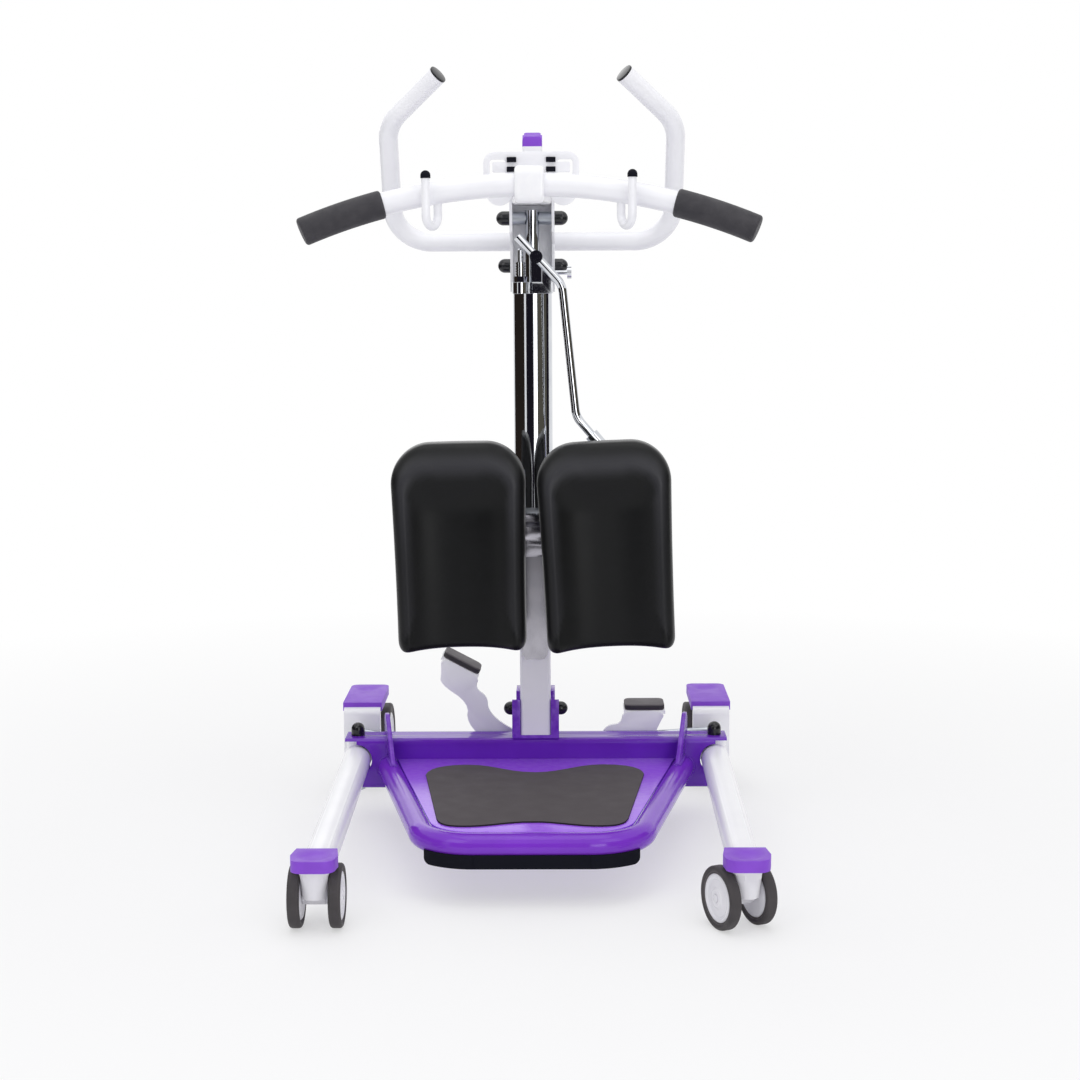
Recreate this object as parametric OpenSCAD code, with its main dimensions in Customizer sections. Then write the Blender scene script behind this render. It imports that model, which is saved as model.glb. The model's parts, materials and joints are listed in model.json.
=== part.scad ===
// Sit to stand patient lift with a hand pumped hydraulic jack, spreading legs and swivelling knee pads.
// The patient stands on the footplate on the -Y side, and the helper works from the +Y side.

/* [Base] */
// Distance between the two leg pivots
pivot_span = 530; // [500:1:600]
// Distance from the leg pivots forward to the front caster stems
front_reach = 527; // [500:1:600]
// Distance from the leg pivots back to the rear caster stems
rear_reach = 172; // [170:1:230]
// Height of the crossbeam's top face above the floor
beam_top = 122; // [118:1:134]
// Height of the crossbeam's section
beam_h = 75; // [70:1:84]
// Depth of the crossbeam's section
beam_d = 54; // [50:1:60]
// Wall of the crossbeam
beam_wall = 4; // [3:0.5:5]
// How far the crossbeam reaches past each leg pivot
beam_overhang = 17; // [14:1:24]

/* [Legs and casters] */
// Diameter of the leg tubes
leg_tube_d = 41; // [34:1:43]
// Wall of the leg tubes
leg_wall = 2.5; // [2:0.5:4]
// Diameter of the front wheels
front_wheel_d = 80; // [74:1:84]
// Diameter of the rear wheels
rear_wheel_d = 125; // [115:1:127]
// Trail of the front casters
front_trail = 19; // [15:1:24]
// Trail of the rear casters
rear_trail = 28; // [24:1:32]
// Width of each caster wheel
wheel_w = 15.5; // [12:0.5:18]
// Space between the two wheels of a caster
wheel_gap = 35; // [34:1:40]
// How far the front right caster stands turned
parked_turn = 25; // [0:1:40]
// Width of the caster caps
cap_w = 59; // [56:1:70]
// Length of the caster caps
cap_l = 58; // [56:1:70]
// Height of the caster caps
cap_h = 15; // [13:1:20]

/* [Footplate] */
// Diameter of the footplate's tube
plate_tube_d = 33; // [28:1:36]
// Half width of the footplate's tube where it meets the crossbeam
plate_half_rear = 217; // [200:1:224]
// Half width of the footplate's tube at its front corners
plate_half_front = 134; // [125:1:165]
// Distance from the leg pivots to the footplate's front tube
plate_reach = 424; // [380:1:435]
// Height of the footplate tube's axis
plate_tube_z = 78; // [74:1:86]
// Thickness of the footplate's sheet
plate_t = 3; // [2:0.5:4]
// Thickness of the rubber foot mat
mat_t = 3; // [2:0.5:6]

/* [Mast and jack] */
// Width of the outer mast
mast_w = 45; // [44:1:50]
// Depth of the outer mast
mast_d = 60; // [56:1:64]
// Wall of the outer mast
mast_wall = 3; // [2:0.5:4]
// Height of the outer mast's top
mast_top = 752; // [735:1:760]
// Width of the inner mast
inner_w = 28; // [24:1:32]
// Depth of the inner mast
inner_d = 44; // [40:1:48]
// Height of the inner mast's top at the lowest lift
inner_top = 981; // [960:1:1020]
// Diameter of the jack's cylinder
jack_d = 55; // [50:1:57]
// Height of the jack's seat
jack_bottom = 472; // [462:1:480]
// Height of the jack cylinder's top
jack_top = 774; // [760:1:780]
// Diameter of the jack's ram
ram_d = 20; // [16:1:24]

/* [Head and handles] */
// Height of the upper head bolt, which holds the ram
ram_bolt_z = 879; // [870:1:890]
// Height of the lower head bolt, which holds the inner mast
mast_bolt_z = 813; // [806:1:830]
// Height of the handlebar's middle
bar_z = 916; // [910:1:930]
// Distance of the handlebar's middle in front of the leg pivots
bar_reach = 270; // [240:1:310]
// Diameter of the handlebar
bar_d = 30; // [25:1:32]
// Half length of the handlebar
bar_half = 291; // [270:1:295]
// Bend radius of the handlebar
bar_bend = 670; // [560:1:900]
// How far the handlebar's plane leans towards the patient
bar_lean = 27; // [15:1:35]
// Diameter of the hand grips
grip_d = 37; // [35:1:40]
// Length of the hand grips
grip_l = 112; // [90:1:125]
// Height of the push handle's cross tube
push_z = 848; // [840:1:860]
// Diameter of the push handle's tube
push_d = 27; // [22:1:30]
// Half width of the push handle
push_half = 203; // [180:1:230]
// Lean of the push handle towards the patient
push_lean = 28; // [15:1:35]

/* [Knee pads] */
// Width of a knee pad
pad_w = 186; // [150:1:190]
// Width of a knee pad at its lower edge
pad_w_low = 175; // [145:1:180]
// Height of a knee pad
pad_h = 292; // [240:1:310]
// Thickness of a knee pad at its raised edges
pad_t = 64; // [50:1:75]
// Depth of the trough that takes the shin
pad_trough = 17; // [8:1:22]
// Distance between the two knee pad swivels
pad_span = 208; // [206:1:220]
// Height of the knee pad swivels
pad_z = 428; // [415:1:436]
// How far the left knee pad stands turned
left_pad_turn = 1; // [0:0.5:4]
// How far the right knee pad stands turned
right_pad_turn = 2.5; // [0:0.5:4]

/* [Hidden] */

purple = "#7A33C8";
white = "#F4F3F8";
chrome = "#C9CCD2";
black = "#1B1F20";
rubber = "#4A4648";

$fn = 48;
// Gap between flat faces of different bodies, and radial gap of a running fit
clear = 0.4;
run_fit = 0.06;
// A cut runs this far past the face that it leaves through
past = 1;

function unit(v) = v / norm(v);
function heading(a, b) = atan2(b[1] - a[1], b[0] - a[0]);
function wrap(t) = t > 180 ? t - 360 : t < -180 ? t + 360 : t;
function turn_at(p, i) = wrap(heading(p[i], p[i + 1]) - heading(p[i - 1], p[i]));
function trim_at(p, i, bend) = i == 0 || i == len(p) - 1 ? 0 : bend * tan(abs(turn_at(p, i)) / 2);
function lengthen(p, extra) = let (n = len(p) - 1)
    concat([p[0] + extra * unit(p[0] - p[1])],
           [for (i = [1 : n - 1]) p[i]],
           [p[n] + extra * unit(p[n] - p[n - 1])]);
function bezier(a, b, c, d, steps) = [for (i = [0 : steps - 1]) let (t = i / steps, s = 1 - t)
    s * s * s * a + 3 * s * s * t * b + 3 * s * t * t * c + t * t * t * d];
function arc(centre, r, from, to, steps) = [for (i = [0 : steps]) let (a = from + (to - from) * i / steps)
    centre + r * [cos(a), sin(a)]];
function cut_corners(p) = [for (i = [0 : len(p) - 1]) let (a = p[i], b = p[(i + 1) % len(p)])
    each [0.75 * a + 0.25 * b, 0.25 * a + 0.75 * b]];
function mirrored(points) = [for (i = [len(points) - 1 : -1 : 0]) [-points[i][0], points[i][1]]];

// A bend is drawn a hair thicker than its straight runs, which reach a little way into it
bend_swell = 0.1;
bend_lap = 0.5;

// A round rod along a path in the XY plane, with every corner bent to the same radius
module bent_rod(path, bend, r) {
    last = len(path) - 2;
    for (i = [0 : last]) {
        step = unit(path[i + 1] - path[i]);
        lead = i == 0 ? 0 : bend_lap;
        tail = i == last ? 0 : bend_lap;
        from = path[i] + step * (trim_at(path, i, bend) - lead);
        run = norm(path[i + 1] - path[i]) - trim_at(path, i, bend) - trim_at(path, i + 1, bend);
        if (run > bend_lap)
            translate([from[0], from[1], 0])
                rotate([0, 0, heading(path[i], path[i + 1])])
                    rotate([0, 90, 0])
                        cylinder(h = run + lead + tail, r = r);
    }
    for (i = [1 : last]) {
        t = turn_at(path, i);
        into = unit(path[i] - path[i - 1]);
        centre = path[i] - into * trim_at(path, i, bend) + sign(t) * bend * [-into[1], into[0]];
        h = heading(path[i - 1], path[i]);
        translate([centre[0], centre[1], 0])
            rotate([0, 0, t > 0 ? h - 90 : h + 90 + t])
                rotate_extrude(angle = abs(t))
                    translate([bend, 0])
                        circle(r = r + bend_swell);
    }
}

// The same rod as a tube that is open at both ends
module bent_tube(path, bend, r, wall) {
    difference() {
        bent_rod(path, bend, r);
        bent_rod(lengthen(path, past), bend, r - wall);
    }
}

// A box given by its low and high corners
module block(low, high) {
    translate(low) cube(high - low);
}

// A flat plate with round corners, centred in X and Y, standing on Z = 0
module round_plate(w, l, t, r) {
    linear_extrude(t) {
        square([w - 2 * r, l], center = true);
        square([w, l - 2 * r], center = true);
        for (x = [-1, 1], y = [-1, 1])
            translate([x * (w / 2 - r), y * (l / 2 - r)]) circle(r = r);
    }
}

// A tube of that shape, open at both ends
module box_tube(w, l, h, wall, r) {
    difference() {
        round_plate(w, l, h, r);
        translate([0, 0, -past]) round_plate(w - 2 * wall, l - 2 * wall, h + 2 * past, r - wall);
    }
}

// A cylinder along X or Y, from the point given in the positive direction
module rod_x(at, length, r) {
    translate(at) rotate([0, 90, 0]) cylinder(h = length, r = r);
}
module rod_y(at, length, r) {
    translate(at) rotate([-90, 0, 0]) cylinder(h = length, r = r);
}

// A straight rod between two points in space
module rod_between(a, b, r) {
    d = b - a;
    translate(a)
        rotate([0, acos(d[2] / norm(d)), atan2(d[1], d[0])])
            cylinder(h = norm(d), r = r);
}

// Bullet shaped plastic nut cap that stands on Z = 0, with a bore for the bolt's end
bolt_r = 6;
dome_r = 10;
dome_h = 19;
dome_grip = 9;
module dome_cap() {
    difference() {
        rotate_extrude() {
            square([dome_r, dome_h - dome_r]);
            intersection() {
                translate([0, dome_h - dome_r]) circle(r = dome_r);
                square([dome_r, dome_h]);
            }
        }
        translate([0, 0, -past]) cylinder(h = dome_grip + past, r = bolt_r);
    }
}

// Places that several pieces share. Y = 0 is the line of the leg pivots until place() moves it.
pivot_x = pivot_span / 2;
front_y = -front_reach;
rear_y = rear_reach;
beam_bottom = beam_top - beam_h;
beam_mid = (beam_top + beam_bottom) / 2;
beam_front = -beam_d / 2;
beam_rear = beam_d / 2;
leg_r = leg_tube_d / 2;
cap_gap = 2;
front_seat = front_wheel_d + cap_gap;
rear_rise = 15;
rear_seat = rear_wheel_d + cap_gap + rear_rise;
seat_t = 7;
leg_axis_z = beam_mid + 6;
leg_front_z = front_seat - 10;
leg_slope = atan((leg_axis_z - leg_front_z) / front_reach);
wheel_out = wheel_gap / 2 + wheel_w;
origin_shift = ((front_reach + cap_l / 2) - (rear_reach + rear_trail + rear_wheel_d / 2)) / 2;

// Moves a child from the line of the leg pivots to the part's origin, on the floor under its middle
module place() {
    translate([0, origin_shift, 0]) children();
}
module both_sides() {
    children();
    mirror([1, 0, 0]) children();
}
function leg_z(y) = leg_axis_z + y * tan(leg_slope);

// Pedal linkage: the rocker turns on the crossbeam and the links turn the legs
pedal_swing = 28;
leg_spread = 12;
crank = 42;
crank_pin_r = 5;
link_t = 6;
link_eye_r = 9;
link_play = 1.3;
link_rod_r = 5;
rocker_t = 6;
rocker_pin_r = 4;
rocker_y = beam_rear + 3;
rocker_z = beam_mid;
rocker_arm = crank * sin(leg_spread / 2) / sin(pedal_swing / 2);
crank_x = pivot_x + crank * tan(leg_spread / 2);
crank_seat = leg_z(crank) + leg_r + 2.5;
link_y = rocker_y + rocker_t + clear;

// The crossbeam, open at its ends, where each leg passes through an arch
arch_front_r = leg_r + 2;
arch_rear_r = leg_r + 8;
beam_corner = 7;
module crossbeam() {
    half = pivot_x + beam_overhang;
    color(purple) place() difference() {
        translate([-half, 0, beam_mid]) rotate([90, 0, 90])
            box_tube(beam_d, beam_h, 2 * half, beam_wall, beam_corner);
        both_sides() {
            rod_y([pivot_x, beam_front - past, leg_axis_z], beam_d / 2, arch_front_r);
            rod_y([pivot_x, 0, leg_axis_z], beam_d / 2 + past, arch_rear_r);
            block([pivot_x, beam_front - past, beam_bottom + beam_wall],
                  [half + past, beam_rear + past, beam_top - beam_wall]);
            translate([pivot_x, 0, beam_bottom - past]) cylinder(h = beam_h + 2 * past, r = bolt_r);
        }
        rod_y([0, beam_rear - beam_wall - past, rocker_z], beam_wall + 2 * past, bolt_r);
    }
}

// Footplate: a tube bent round three sides, a sheet inside it and a rubber mat on the sheet
plate_r = plate_tube_d / 2;
plate_bend = 74;
plate_wall = 2.5;
plate_front = -plate_reach;
plate_side = [plate_half_rear - plate_half_front, beam_front - plate_front];
plate_turn = atan2(plate_side[0], plate_side[1]);
plate_top = plate_tube_z + plate_r * 0.85;
panel_edge = sqrt(plate_r * plate_r - pow(plate_top - plate_t - plate_tube_z, 2)) + 0.2;
plate_path = [
    [-plate_half_rear, beam_front], [-plate_half_front, plate_front],
    [plate_half_front, plate_front], [plate_half_rear, beam_front]
];
module footplate_frame() {
    color(purple) place() difference() {
        translate([0, 0, plate_tube_z])
            bent_tube(lengthen(plate_path, plate_tube_d), plate_bend, plate_r, plate_wall);
        block([-pivot_x, beam_front, 0], [pivot_x, beam_rear + plate_tube_d, beam_top]);
    }
}

function inset_corner(inset) = let (side = inset / cos(plate_turn))
    [plate_half_front - side + inset * tan(plate_turn), plate_front + inset];
module footplate_panel() {
    corner = inset_corner(panel_edge);
    bend = plate_bend - panel_edge;
    swing = 90 - plate_turn;
    reach = bend * tan(swing / 2);
    hub = [corner[0] - reach, corner[1] + bend];
    rear_half = plate_half_rear - panel_edge / cos(plate_turn);
    half = concat(arc(hub, bend, -90, -plate_turn, 8), [[rear_half, beam_front]]);
    color(purple) place() translate([0, 0, plate_top - plate_t])
        linear_extrude(plate_t) polygon(concat(half, mirrored(half)));
}

// Hourglass mat: the outline has a lobe for each foot and a dip between them
mat_rear = 47;
mat_front = 21;
mat_dip = 44;
mat_bow = 21;
mat_lobe = 98;
mat_toe = 80;
mat_half_rear = 155;
mat_half_front = 126;
mat_round = [68, 36];
mat_steps = 7;
module foot_mat() {
    back = beam_front - mat_rear;
    front = plate_front + panel_edge + mat_front;
    heel = [mat_lobe, back];
    toe = [mat_toe, front + 1];
    half = concat(
        bezier([0, back - mat_dip], [mat_lobe * 0.4, back - mat_dip], [mat_lobe * 0.6, back], heel,
               mat_steps),
        bezier(heel, [mat_half_rear - 9, back], [mat_half_rear + 4, back - mat_round[0] / 2],
               [mat_half_rear, back - mat_round[0]], mat_steps),
        bezier([mat_half_front, front + mat_round[1]], [mat_half_front - 5, front + 3],
               [mat_toe + 24, front], toe, mat_steps),
        bezier(toe, [mat_toe * 0.65, front + 4], [mat_toe * 0.38, front + mat_bow], [0, front + mat_bow],
               mat_steps));
    color("#544C50") place() translate([0, 0, plate_top])
        linear_extrude(mat_t) polygon(concat(half, mirrored(half)));
}

// Rubber buffer under the footplate's front tube, which follows the tube a little way round its bends
// and has rounded ends
bumper_d = 34;
bumper_drop = 10;
bumper_bed = 8;
bumper_swing = 58;
bumper_half = plate_half_front + 5;
bumper_round = 8;
module bumper_run() {
    run = plate_half_front - plate_bend * tan((90 - plate_turn) / 2);
    half = bumper_d / 2;
    reach = 3 * plate_bend;
    translate([-run - bend_lap, plate_front - half]) square([2 * (run + bend_lap), bumper_d]);
    for (s = [-1, 1]) translate([s * run, plate_front + plate_bend]) intersection() {
        difference() {
            circle(r = plate_bend + half + bend_swell);
            circle(r = plate_bend - half - bend_swell);
        }
        polygon([[0, 0], [0, -reach], [s * reach * tan(bumper_swing), -reach]]);
    }
}
module footplate_bumper() {
    low = plate_tube_z - plate_r - bumper_drop;
    tall = bumper_drop + bumper_bed + 2 * bumper_round;
    color(black) place() difference() {
        intersection() {
            translate([0, 0, low - past]) linear_extrude(bumper_drop + bumper_bed + past) bumper_run();
            translate([0, plate_front + plate_bend, low + tall / 2]) rotate([90, 0, 0])
                round_plate(2 * bumper_half, tall, 2 * plate_bend, bumper_round);
        }
        translate([0, 0, plate_tube_z]) bent_rod(plate_path, plate_bend, plate_r + bend_swell);
    }
}

// Two upright plates that brace the footplate's tubes against the crossbeam
gusset_t = 6;
gusset_rise = 36;
gusset_run = 56;
module gusset_plates() {
    foot = plate_tube_z;
    head = beam_top + gusset_rise;
    profile = [[-26, foot], [-26, head - 8], [-18, head], [-6, head], [gusset_run, plate_top + 6],
               [gusset_run, foot]];
    color(purple) place() both_sides() difference() {
        translate([plate_half_rear, beam_front, 0])
            rotate([0, 0, -90 - plate_turn])
                rotate([90, 0, 0])
                    translate([0, 0, -gusset_t / 2]) linear_extrude(gusset_t) polygon(profile);
        block([0, beam_front, 0], [pivot_x, beam_rear, beam_top]);
        translate([0, 0, plate_tube_z])
            bent_rod(lengthen(plate_path, plate_tube_d), plate_bend, plate_r);
        block([0, plate_front, 0], [plate_half_rear, beam_front, plate_top]);
    }
}

// Mast bracket: a seat plate and two cheeks that hold the mast's foot
mast_y = 5;
mast_seat_t = 5;
cheek_t = 6;
cheek_h = 58;
mast_bolt_low = beam_top + 40;
mast_front = mast_y - mast_d / 2;
mast_rear = mast_y + mast_d / 2;
mast_bottom = beam_top + mast_seat_t;
module mast_bracket() {
    cheek_x = mast_w / 2;
    lip = 12;
    lip_t = 5;
    cheek_step = 11;
    color(purple) place() difference() {
        union() {
            block([-cheek_x, beam_front, beam_top], [cheek_x, beam_rear, mast_bottom]);
            both_sides() {
                block([cheek_x, beam_front + lip, beam_top],
                      [cheek_x + cheek_t, beam_rear, beam_top + cheek_h + cheek_step]);
                block([cheek_x, beam_front, beam_top],
                      [cheek_x + lip, beam_front + lip_t, beam_top + cheek_h]);
                block([cheek_x, beam_front, beam_top],
                      [cheek_x + cheek_t, beam_front + lip + past, beam_top + cheek_h]);
            }
        }
        rod_x([-mast_w, 0, mast_bolt_low], 2 * mast_w, bolt_r);
    }
}

mast_corner = 4.5;
module outer_mast() {
    color(white) place() difference() {
        translate([0, mast_y, mast_bottom])
            box_tube(mast_w, mast_d, mast_top - mast_bottom, mast_wall, mast_corner);
        rod_x([-mast_w, 0, mast_bolt_low], 2 * mast_w, bolt_r);
    }
}

// Bolts of the base: the mast's foot bolt, the leg pivots and the pedal's pivot
head_r = 9.5;
head_t = 7;
cheek_out = mast_w / 2 + cheek_t;
module base_bolts() {
    end = cheek_out + dome_grip;
    color(chrome) place() {
        rod_x([-end, 0, mast_bolt_low], 2 * end, bolt_r);
        both_sides() translate([pivot_x, 0, 0]) {
            translate([0, 0, beam_bottom]) cylinder(h = beam_h + dome_grip, r = bolt_r);
            translate([0, 0, beam_bottom - head_t]) cylinder(h = head_t, r = head_r, $fn = 6);
        }
        rod_y([0, beam_rear - beam_wall - head_t, rocker_z], head_t, head_r);
        rod_y([0, beam_rear - beam_wall, rocker_z], beam_wall + 3 + rocker_t + link_t + 6, bolt_r);
        rod_y([0, rocker_y + rocker_t + clear, rocker_z], head_t, head_r - 1);
    }
}
module base_bolt_caps() {
    color(black) place() both_sides() {
        translate([cheek_out, 0, mast_bolt_low]) rotate([0, 90, 0]) dome_cap();
        translate([pivot_x, 0, beam_top]) dome_cap();
    }
}

// Nylon bush in the outer mast's mouth, with a lip on the rim
bush_l = 60;
bush_lip = 4;
module mast_bush() {
    slide = 0.3;
    color(black) place() difference() {
        translate([0, mast_y, mast_top]) {
            translate([0, 0, -bush_l])
                round_plate(mast_w - 2 * mast_wall, mast_d - 2 * mast_wall, bush_l, mast_corner - mast_wall);
            round_plate(mast_w, mast_d, bush_lip, mast_corner);
        }
        block([-inner_w / 2 - slide, mast_y - inner_d / 2 - slide, mast_top - bush_l - past],
              [inner_w / 2 + slide, mast_y + inner_d / 2 + slide, mast_top + bush_lip + past]);
    }
}

// Knee rail: a channel with round lower corners, open at its back, on the mast's front face
rail_w = 36;
rail_d = 24;
rail_bottom = 245;
rail_gap = 6;
rail_wall = 3;
rail_front = mast_front - rail_d;
module knee_rail() {
    height = jack_bottom - seat_shelf_t - rail_gap - rail_bottom;
    color(chrome) place() translate([0, mast_front, rail_bottom + height / 2]) rotate([90, 0, 0])
        difference() {
            round_plate(rail_w, height, rail_d, 9);
            translate([0, 0, -past])
                round_plate(rail_w - 2 * rail_wall, height - 2 * rail_wall, rail_d - rail_wall + past, 6);
        }
}

// Jack: a seat on the mast, the cylinder, its collar and the pump's fixed pieces
jack_y = -60;
seat_shelf_t = 9;
spigot_drop = 3;
spigot_r = 9;
module jack_seat() {
    half = 22;
    color(chrome) place() difference() {
        union() {
            block([-half, jack_y - half, jack_bottom - seat_shelf_t], [half, mast_front, jack_bottom]);
            block([-half, mast_front - 5, jack_bottom - seat_shelf_t], [half, mast_front, jack_bottom + 34]);
        }
        translate([0, jack_y, jack_bottom - seat_shelf_t - past])
            cylinder(h = seat_shelf_t + 2 * past, r = spigot_r);
        translate([0, jack_y, jack_bottom]) cylinder(h = jack_top, r = jack_d / 2 + 0.2);
    }
}

jack_wall = 5;
jack_floor = 14;
module jack_cylinder() {
    color(chrome) place() translate([0, jack_y, 0]) difference() {
        union() {
            translate([0, 0, jack_bottom]) cylinder(h = jack_top - jack_bottom, d = jack_d);
            translate([0, 0, jack_bottom - seat_shelf_t - spigot_drop])
                cylinder(h = seat_shelf_t + spigot_drop + past, r = spigot_r);
        }
        translate([0, 0, jack_bottom + jack_floor]) cylinder(h = jack_top, r = jack_d / 2 - jack_wall);
    }
}

collar_t = 16;
collar_top = jack_top + collar_t;
collar_r = jack_d / 2 + 1.5;
barrel_x = -16;
barrel_y = -94;
barrel_r = 7;
barrel_h = 28;
plunger_r = 4;
valve_y = -82;
valve_z = collar_top + 13;
valve_in = 14;
valve_out = 27;
valve_half = 8;
spindle_r = 3;
spindle_in = 10;
module jack_collar() {
    lug = 14;
    lug_drop = 60;
    boss = barrel_r + 4;
    color(chrome) place() difference() {
        union() {
            translate([0, jack_y, jack_top]) cylinder(h = collar_t, r = collar_r);
            block([-lug, jack_y + jack_d / 2 + 0.5, jack_top - lug_drop],
                  [lug, mast_front, collar_top - past]);
            translate([barrel_x, barrel_y, jack_top]) cylinder(h = collar_t, r = boss);
            block([barrel_x - boss, barrel_y, jack_top], [barrel_x + barrel_r, jack_y, collar_top]);
            block([0, valve_y - valve_half, jack_top], [valve_out, valve_y + valve_half, collar_top]);
            block([valve_in, valve_y - valve_half, jack_top],
                  [valve_out, valve_y + valve_half, valve_z + valve_half]);
        }
        translate([0, jack_y, jack_top - past]) cylinder(h = collar_t + 2 * past, r = ram_d / 2 + run_fit);
        rod_x([valve_out - spindle_in, valve_y, valve_z], spindle_in + past, spindle_r + run_fit);
    }
}

// Fixed fittings of the pump: the ribbed barrel of its plunger, and the lever's fulcrum post with its pin
lever_y = -99;
lever_r = 6;
lever_path = [[-20, 853], [42, 786], [61, 602], [122, 530]];
lever_bend = 30;
function lever_line(x) = lever_path[0][1]
    + (x - lever_path[0][0]) * (lever_path[1][1] - lever_path[0][1]) / (lever_path[1][0] - lever_path[0][0]);
lever_tilt = heading(lever_path[0], lever_path[1]);
fulcrum = [6, lever_line(6)];
eye_r = 9;
eye_half = lever_r + 1;
pin_r = 4;
post_r = 7;
module pump_fittings() {
    nut_h = 8;
    rib_pitch = 3.6;
    post_rear = valve_y + 2;
    post_front = valve_y - 6;
    pin_head = 3;
    pin_front = lever_y - eye_half - clear - pin_head;
    color(chrome) place() {
        translate([barrel_x, barrel_y, collar_top]) difference() {
            union() {
                cylinder(h = barrel_h, r = barrel_r - 1);
                cylinder(h = nut_h, r = barrel_r + 2, $fn = 6);
                for (k = [0 : 4]) translate([0, 0, nut_h + 2 + rib_pitch * k])
                    cylinder(h = 2.2, r = barrel_r);
            }
            translate([0, 0, 2]) cylinder(h = barrel_h, r = plunger_r + run_fit);
        }
        block([fulcrum[0] - post_r, post_front, collar_top], [fulcrum[0] + post_r, post_rear, fulcrum[1]]);
        rod_y([fulcrum[0], post_front, fulcrum[1]], post_rear - post_front, post_r);
        rod_y([fulcrum[0], pin_front, fulcrum[1]], post_front + past - pin_front, pin_r);
        rod_y([fulcrum[0], pin_front, fulcrum[1]], pin_head, pin_r + 3);
    }
}

// Inner mast with the nylon foot that guides it inside the outer mast
inner_bottom = 300;
foot_h = 40;
inner_corner = 4;
module inner_mast() {
    wall = 3;
    color(white) place() difference() {
        translate([0, mast_y, inner_bottom])
            box_tube(inner_w, inner_d, inner_top - inner_bottom, wall, inner_corner);
        rod_x([-inner_w, mast_y, mast_bolt_z], 2 * inner_w, bolt_r);
    }
}
module mast_foot() {
    slide = 0.3;
    floor_t = 6;
    inset = 2 * (mast_wall + slide);
    color(black) place() difference() {
        translate([0, mast_y, inner_bottom - floor_t])
            round_plate(mast_w - inset, mast_d - inset, foot_h + floor_t, mast_corner - mast_wall + 1);
        block([-inner_w / 2, mast_y - inner_d / 2, inner_bottom],
              [inner_w / 2, mast_y + inner_d / 2, inner_bottom + foot_h + past]);
    }
}
module mast_cap() {
    cap = 23;
    edge = 5;
    color(purple) place() translate([0, mast_y, inner_top]) difference() {
        union() {
            round_plate(inner_w, inner_d, cap - edge, inner_corner);
            translate([0, 0, cap - edge - past])
                round_plate(inner_w - 4, inner_d - 4, edge + past, inner_corner);
        }
        translate([0, inner_d / 2, cap]) rotate([24, 0, 0])
            block([-inner_w, -inner_d, 0], [inner_w, inner_d, inner_d]);
    }
}

// Head channel: a box round the inner mast, open at the top and bottom, whose cheeks reach out at the top
channel_in = jack_d / 2;
channel_t = 4;
channel_out = channel_in + channel_t;
channel_front = -76;
channel_low_front = -44;
channel_web = mast_y + inner_d / 2;
channel_face = mast_y - inner_d / 2 - 0.1;
channel_bottom = collar_top - 14;
channel_step = ram_bolt_z - 36;
channel_top = bar_z + 22;
module head_channel() {
    rear = channel_web + channel_t;
    cheek = [[rear, channel_bottom], [channel_low_front, channel_bottom], [channel_low_front, channel_step],
             [channel_front, channel_step + 16], [channel_front, channel_top - 20],
             [channel_front + 20, channel_top], [rear, channel_top]];
    width = 2 * channel_out;
    face_top = bar_z - boss_h / 2 + 6;
    color(white) place() difference() {
        rotate([90, 0, 90]) translate([0, 0, -channel_out]) linear_extrude(width) polygon(cheek);
        block([-channel_in, channel_front - past, channel_bottom - past],
              [channel_in, channel_face - channel_t, channel_top + past]);
        block([-channel_in, channel_face, channel_bottom - past],
              [channel_in, channel_web, channel_top + past]);
        block([-channel_in, channel_face - channel_t - past, face_top],
              [channel_in, channel_face + past, channel_top + past]);
        rod_x([-channel_out - past, jack_y, ram_bolt_z], width + 2 * past, bolt_r);
        rod_x([-channel_out - past, mast_y, mast_bolt_z], width + 2 * past, bolt_r);
    }
}
module head_bolts() {
    end = channel_out + dome_grip;
    spacer = 9;
    color(chrome) place() {
        rod_x([-end, jack_y, ram_bolt_z], 2 * end, bolt_r);
        rod_x([-end, mast_y, mast_bolt_z], 2 * end, bolt_r);
        both_sides() {
            rod_x([ram_d / 2, jack_y, ram_bolt_z], channel_in - ram_d / 2, spacer);
            rod_x([inner_w / 2, mast_y, mast_bolt_z], channel_in - inner_w / 2, spacer);
        }
    }
}
module head_bolt_caps() {
    color(black) place() both_sides() {
        translate([channel_out, jack_y, ram_bolt_z]) rotate([0, 90, 0]) dome_cap();
        translate([channel_out, mast_y, mast_bolt_z]) rotate([0, 90, 0]) dome_cap();
    }
}
module jack_ram() {
    piston_h = 22;
    low = jack_bottom + jack_floor + 2;
    color(chrome) place() translate([0, jack_y, 0]) difference() {
        union() {
            translate([0, 0, low]) cylinder(h = ram_bolt_z + 11 - low, d = ram_d);
            translate([0, 0, low]) cylinder(h = piston_h, r = jack_d / 2 - jack_wall - run_fit);
        }
        rod_x([-jack_d, 0, ram_bolt_z], 2 * jack_d, bolt_r);
    }
}

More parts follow.
